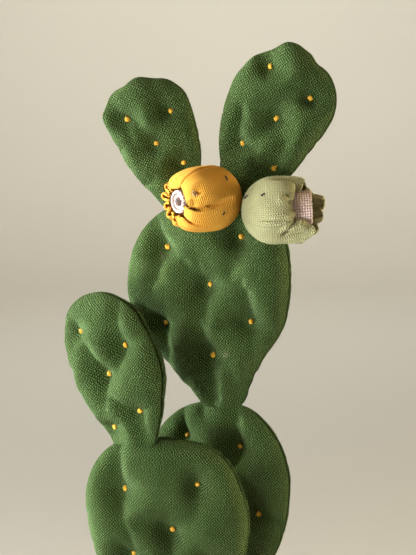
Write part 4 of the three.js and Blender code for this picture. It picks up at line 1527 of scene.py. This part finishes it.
class CACTUS_OT_set_stage(bpy.types.Operator):
    """Set the pale floor and backdrop, the soft lights and the camera"""

    bl_idname = "cactus.set_stage"
    bl_label = "Set Stage"

    def execute(self, context):
        settings = setting("cactus_stage")
        self.sweep(settings)
        self.area("Window", (-2.17, -0.17, 0.54), 1.25, 70, settings.key, (0.86, 0.95, 1.0))
        self.area("Corner", (1.1, 1.0, 0.34), 0.6, 70, settings.rim, (1.0, 0.86, 0.5))
        self.area("Low Panel", (-0.42, -0.7, 0.07), 0.4, 80, settings.low, (0.9, 0.98, 1.0))
        self.area("Lamp", (-0.27, -0.4, 1.8), 0.9, 180, settings.fill, (1.0, 0.8, 0.4))
        for quarter in range(4):
            turn = math.pi / 2 * quarter + VIEW_AZIMUTH
            far = STAGE["flat"] + STAGE["bend"]
            place = (ASIDE["out"] * math.cos(turn), ASIDE["out"] * math.sin(turn), ASIDE["up"])
            aim = (far * math.cos(turn), far * math.sin(turn), ASIDE["aim"])
            self.area(f"Backdrop Light {quarter + 1}", place, 0.8, 110, settings.around, (0.96, 1.0, 0.94), aim)
        world = bpy.data.worlds.new("Soft Room")
        world.use_nodes = True
        back = world.node_tree.nodes["Background"]
        back.inputs[0].default_value = (0.95, 0.82, 0.58, 1)
        back.inputs[1].default_value = settings.sky
        context.scene.world = world
        context.scene.view_settings.view_transform = "Standard"
        camera = bpy.data.objects.new("Camera", bpy.data.cameras.new("Camera"))
        context.scene.collection.objects.link(camera)
        camera.location = VIEW_TARGET + Vector(CAMERA_WAY) * VIEW_DISTANCE
        camera.rotation_euler = Vector(CAMERA_WAY).to_track_quat("Z", "Y").to_euler()
        camera.data.sensor_fit = "VERTICAL"
        camera.data.sensor_height = SENSOR
        camera.data.lens = SENSOR * VIEW_DISTANCE / (PIXEL_SIZE * PHOTO_HEIGHT)
        context.scene.camera = camera
        return {"FINISHED"}

    @staticmethod
    def area(name, place, size, spread, power, colour, aim=(0, 0, 0.25)):
        light = bpy.data.lights.new(name, "AREA")
        light.size, light.energy, light.color = size, power, colour
        light.spread = math.radians(spread)
        lamp = bpy.data.objects.new(name, light)
        lamp.visible_camera = False
        bpy.context.scene.collection.objects.link(lamp)
        lamp.location = place
        lamp.rotation_euler = (Vector(place) - Vector(aim)).to_track_quat("Z", "Y").to_euler()

    @staticmethod
    def sweep(settings):
        """A floor that rises all round, far off, so that no edge shows from any side."""
        flat, bend, sides = STAGE["flat"], STAGE["bend"], STAGE["sides"]
        profile = [(0.0, 0.0), (flat, 0.0)]
        for t in np.linspace(0.15, math.pi / 2, 9):
            profile.append((flat + bend * math.sin(t), bend * (1 - math.cos(t))))
        profile += [(flat + bend, STAGE["top"])]
        points = [
            (r * math.cos(2 * math.pi * j / sides), r * math.sin(2 * math.pi * j / sides), z)
            for r, z in profile[1:]
            for j in range(sides)
        ]
        faces = [tuple(range(sides))]
        for i in range(len(profile) - 2):
            for j in range(sides):
                k = (j + 1) % sides
                faces.append((i * sides + k, i * sides + j, (i + 1) * sides + j, (i + 1) * sides + k))
        floor = mesh_object("Backdrop", points, faces, backdrop_material(settings.backdrop))


class CACTUS_PT_panel(bpy.types.Panel):
    """Every step of the cactus, in order"""

    bl_label = "Cloth Cactus"
    bl_idname = "CACTUS_PT_panel"
    bl_space_type = "VIEW_3D"
    bl_region_type = "UI"
    bl_category = "Cloth Cactus"

    def draw(self, context):
        for operator in OPERATORS:
            self.layout.operator(operator.bl_idname)
        for name, group in SETTINGS.items():
            box = self.layout.box()
            for field in group.__annotations__:
                box.prop(getattr(context.scene, name), field)


SETTINGS = {
    "cactus_pads": CactusPads,
    "cactus_knots": CactusKnots,
    "cactus_fruits": CactusFruits,
    "cactus_pot": CactusPot,
    "cactus_stage": CactusStage,
}
OPERATORS = (
    CACTUS_OT_set_stage,
    CACTUS_OT_sew_pads,
    CACTUS_OT_tie_knots,
    CACTUS_OT_gather_fruits,
    CACTUS_OT_roll_strips,
    CACTUS_OT_sew_stitches,
    CACTUS_OT_throw_pot,
    CACTUS_OT_lay_pebbles,
)


def register():
    for made in (*SETTINGS.values(), *OPERATORS, CACTUS_PT_panel):
        bpy.utils.register_class(made)
    for name, group in SETTINGS.items():
        setattr(bpy.types.Scene, name, PointerProperty(type=group))


def unregister():
    for name in SETTINGS:
        delattr(bpy.types.Scene, name)
    for made in (CACTUS_PT_panel, *reversed(OPERATORS), *reversed(SETTINGS.values())):
        bpy.utils.unregister_class(made)


def main():
    register()
    for operator in OPERATORS:
        family, name = operator.bl_idname.split(".")
        getattr(getattr(bpy.ops, family), name)()


if __name__ == "__main__":
    main()
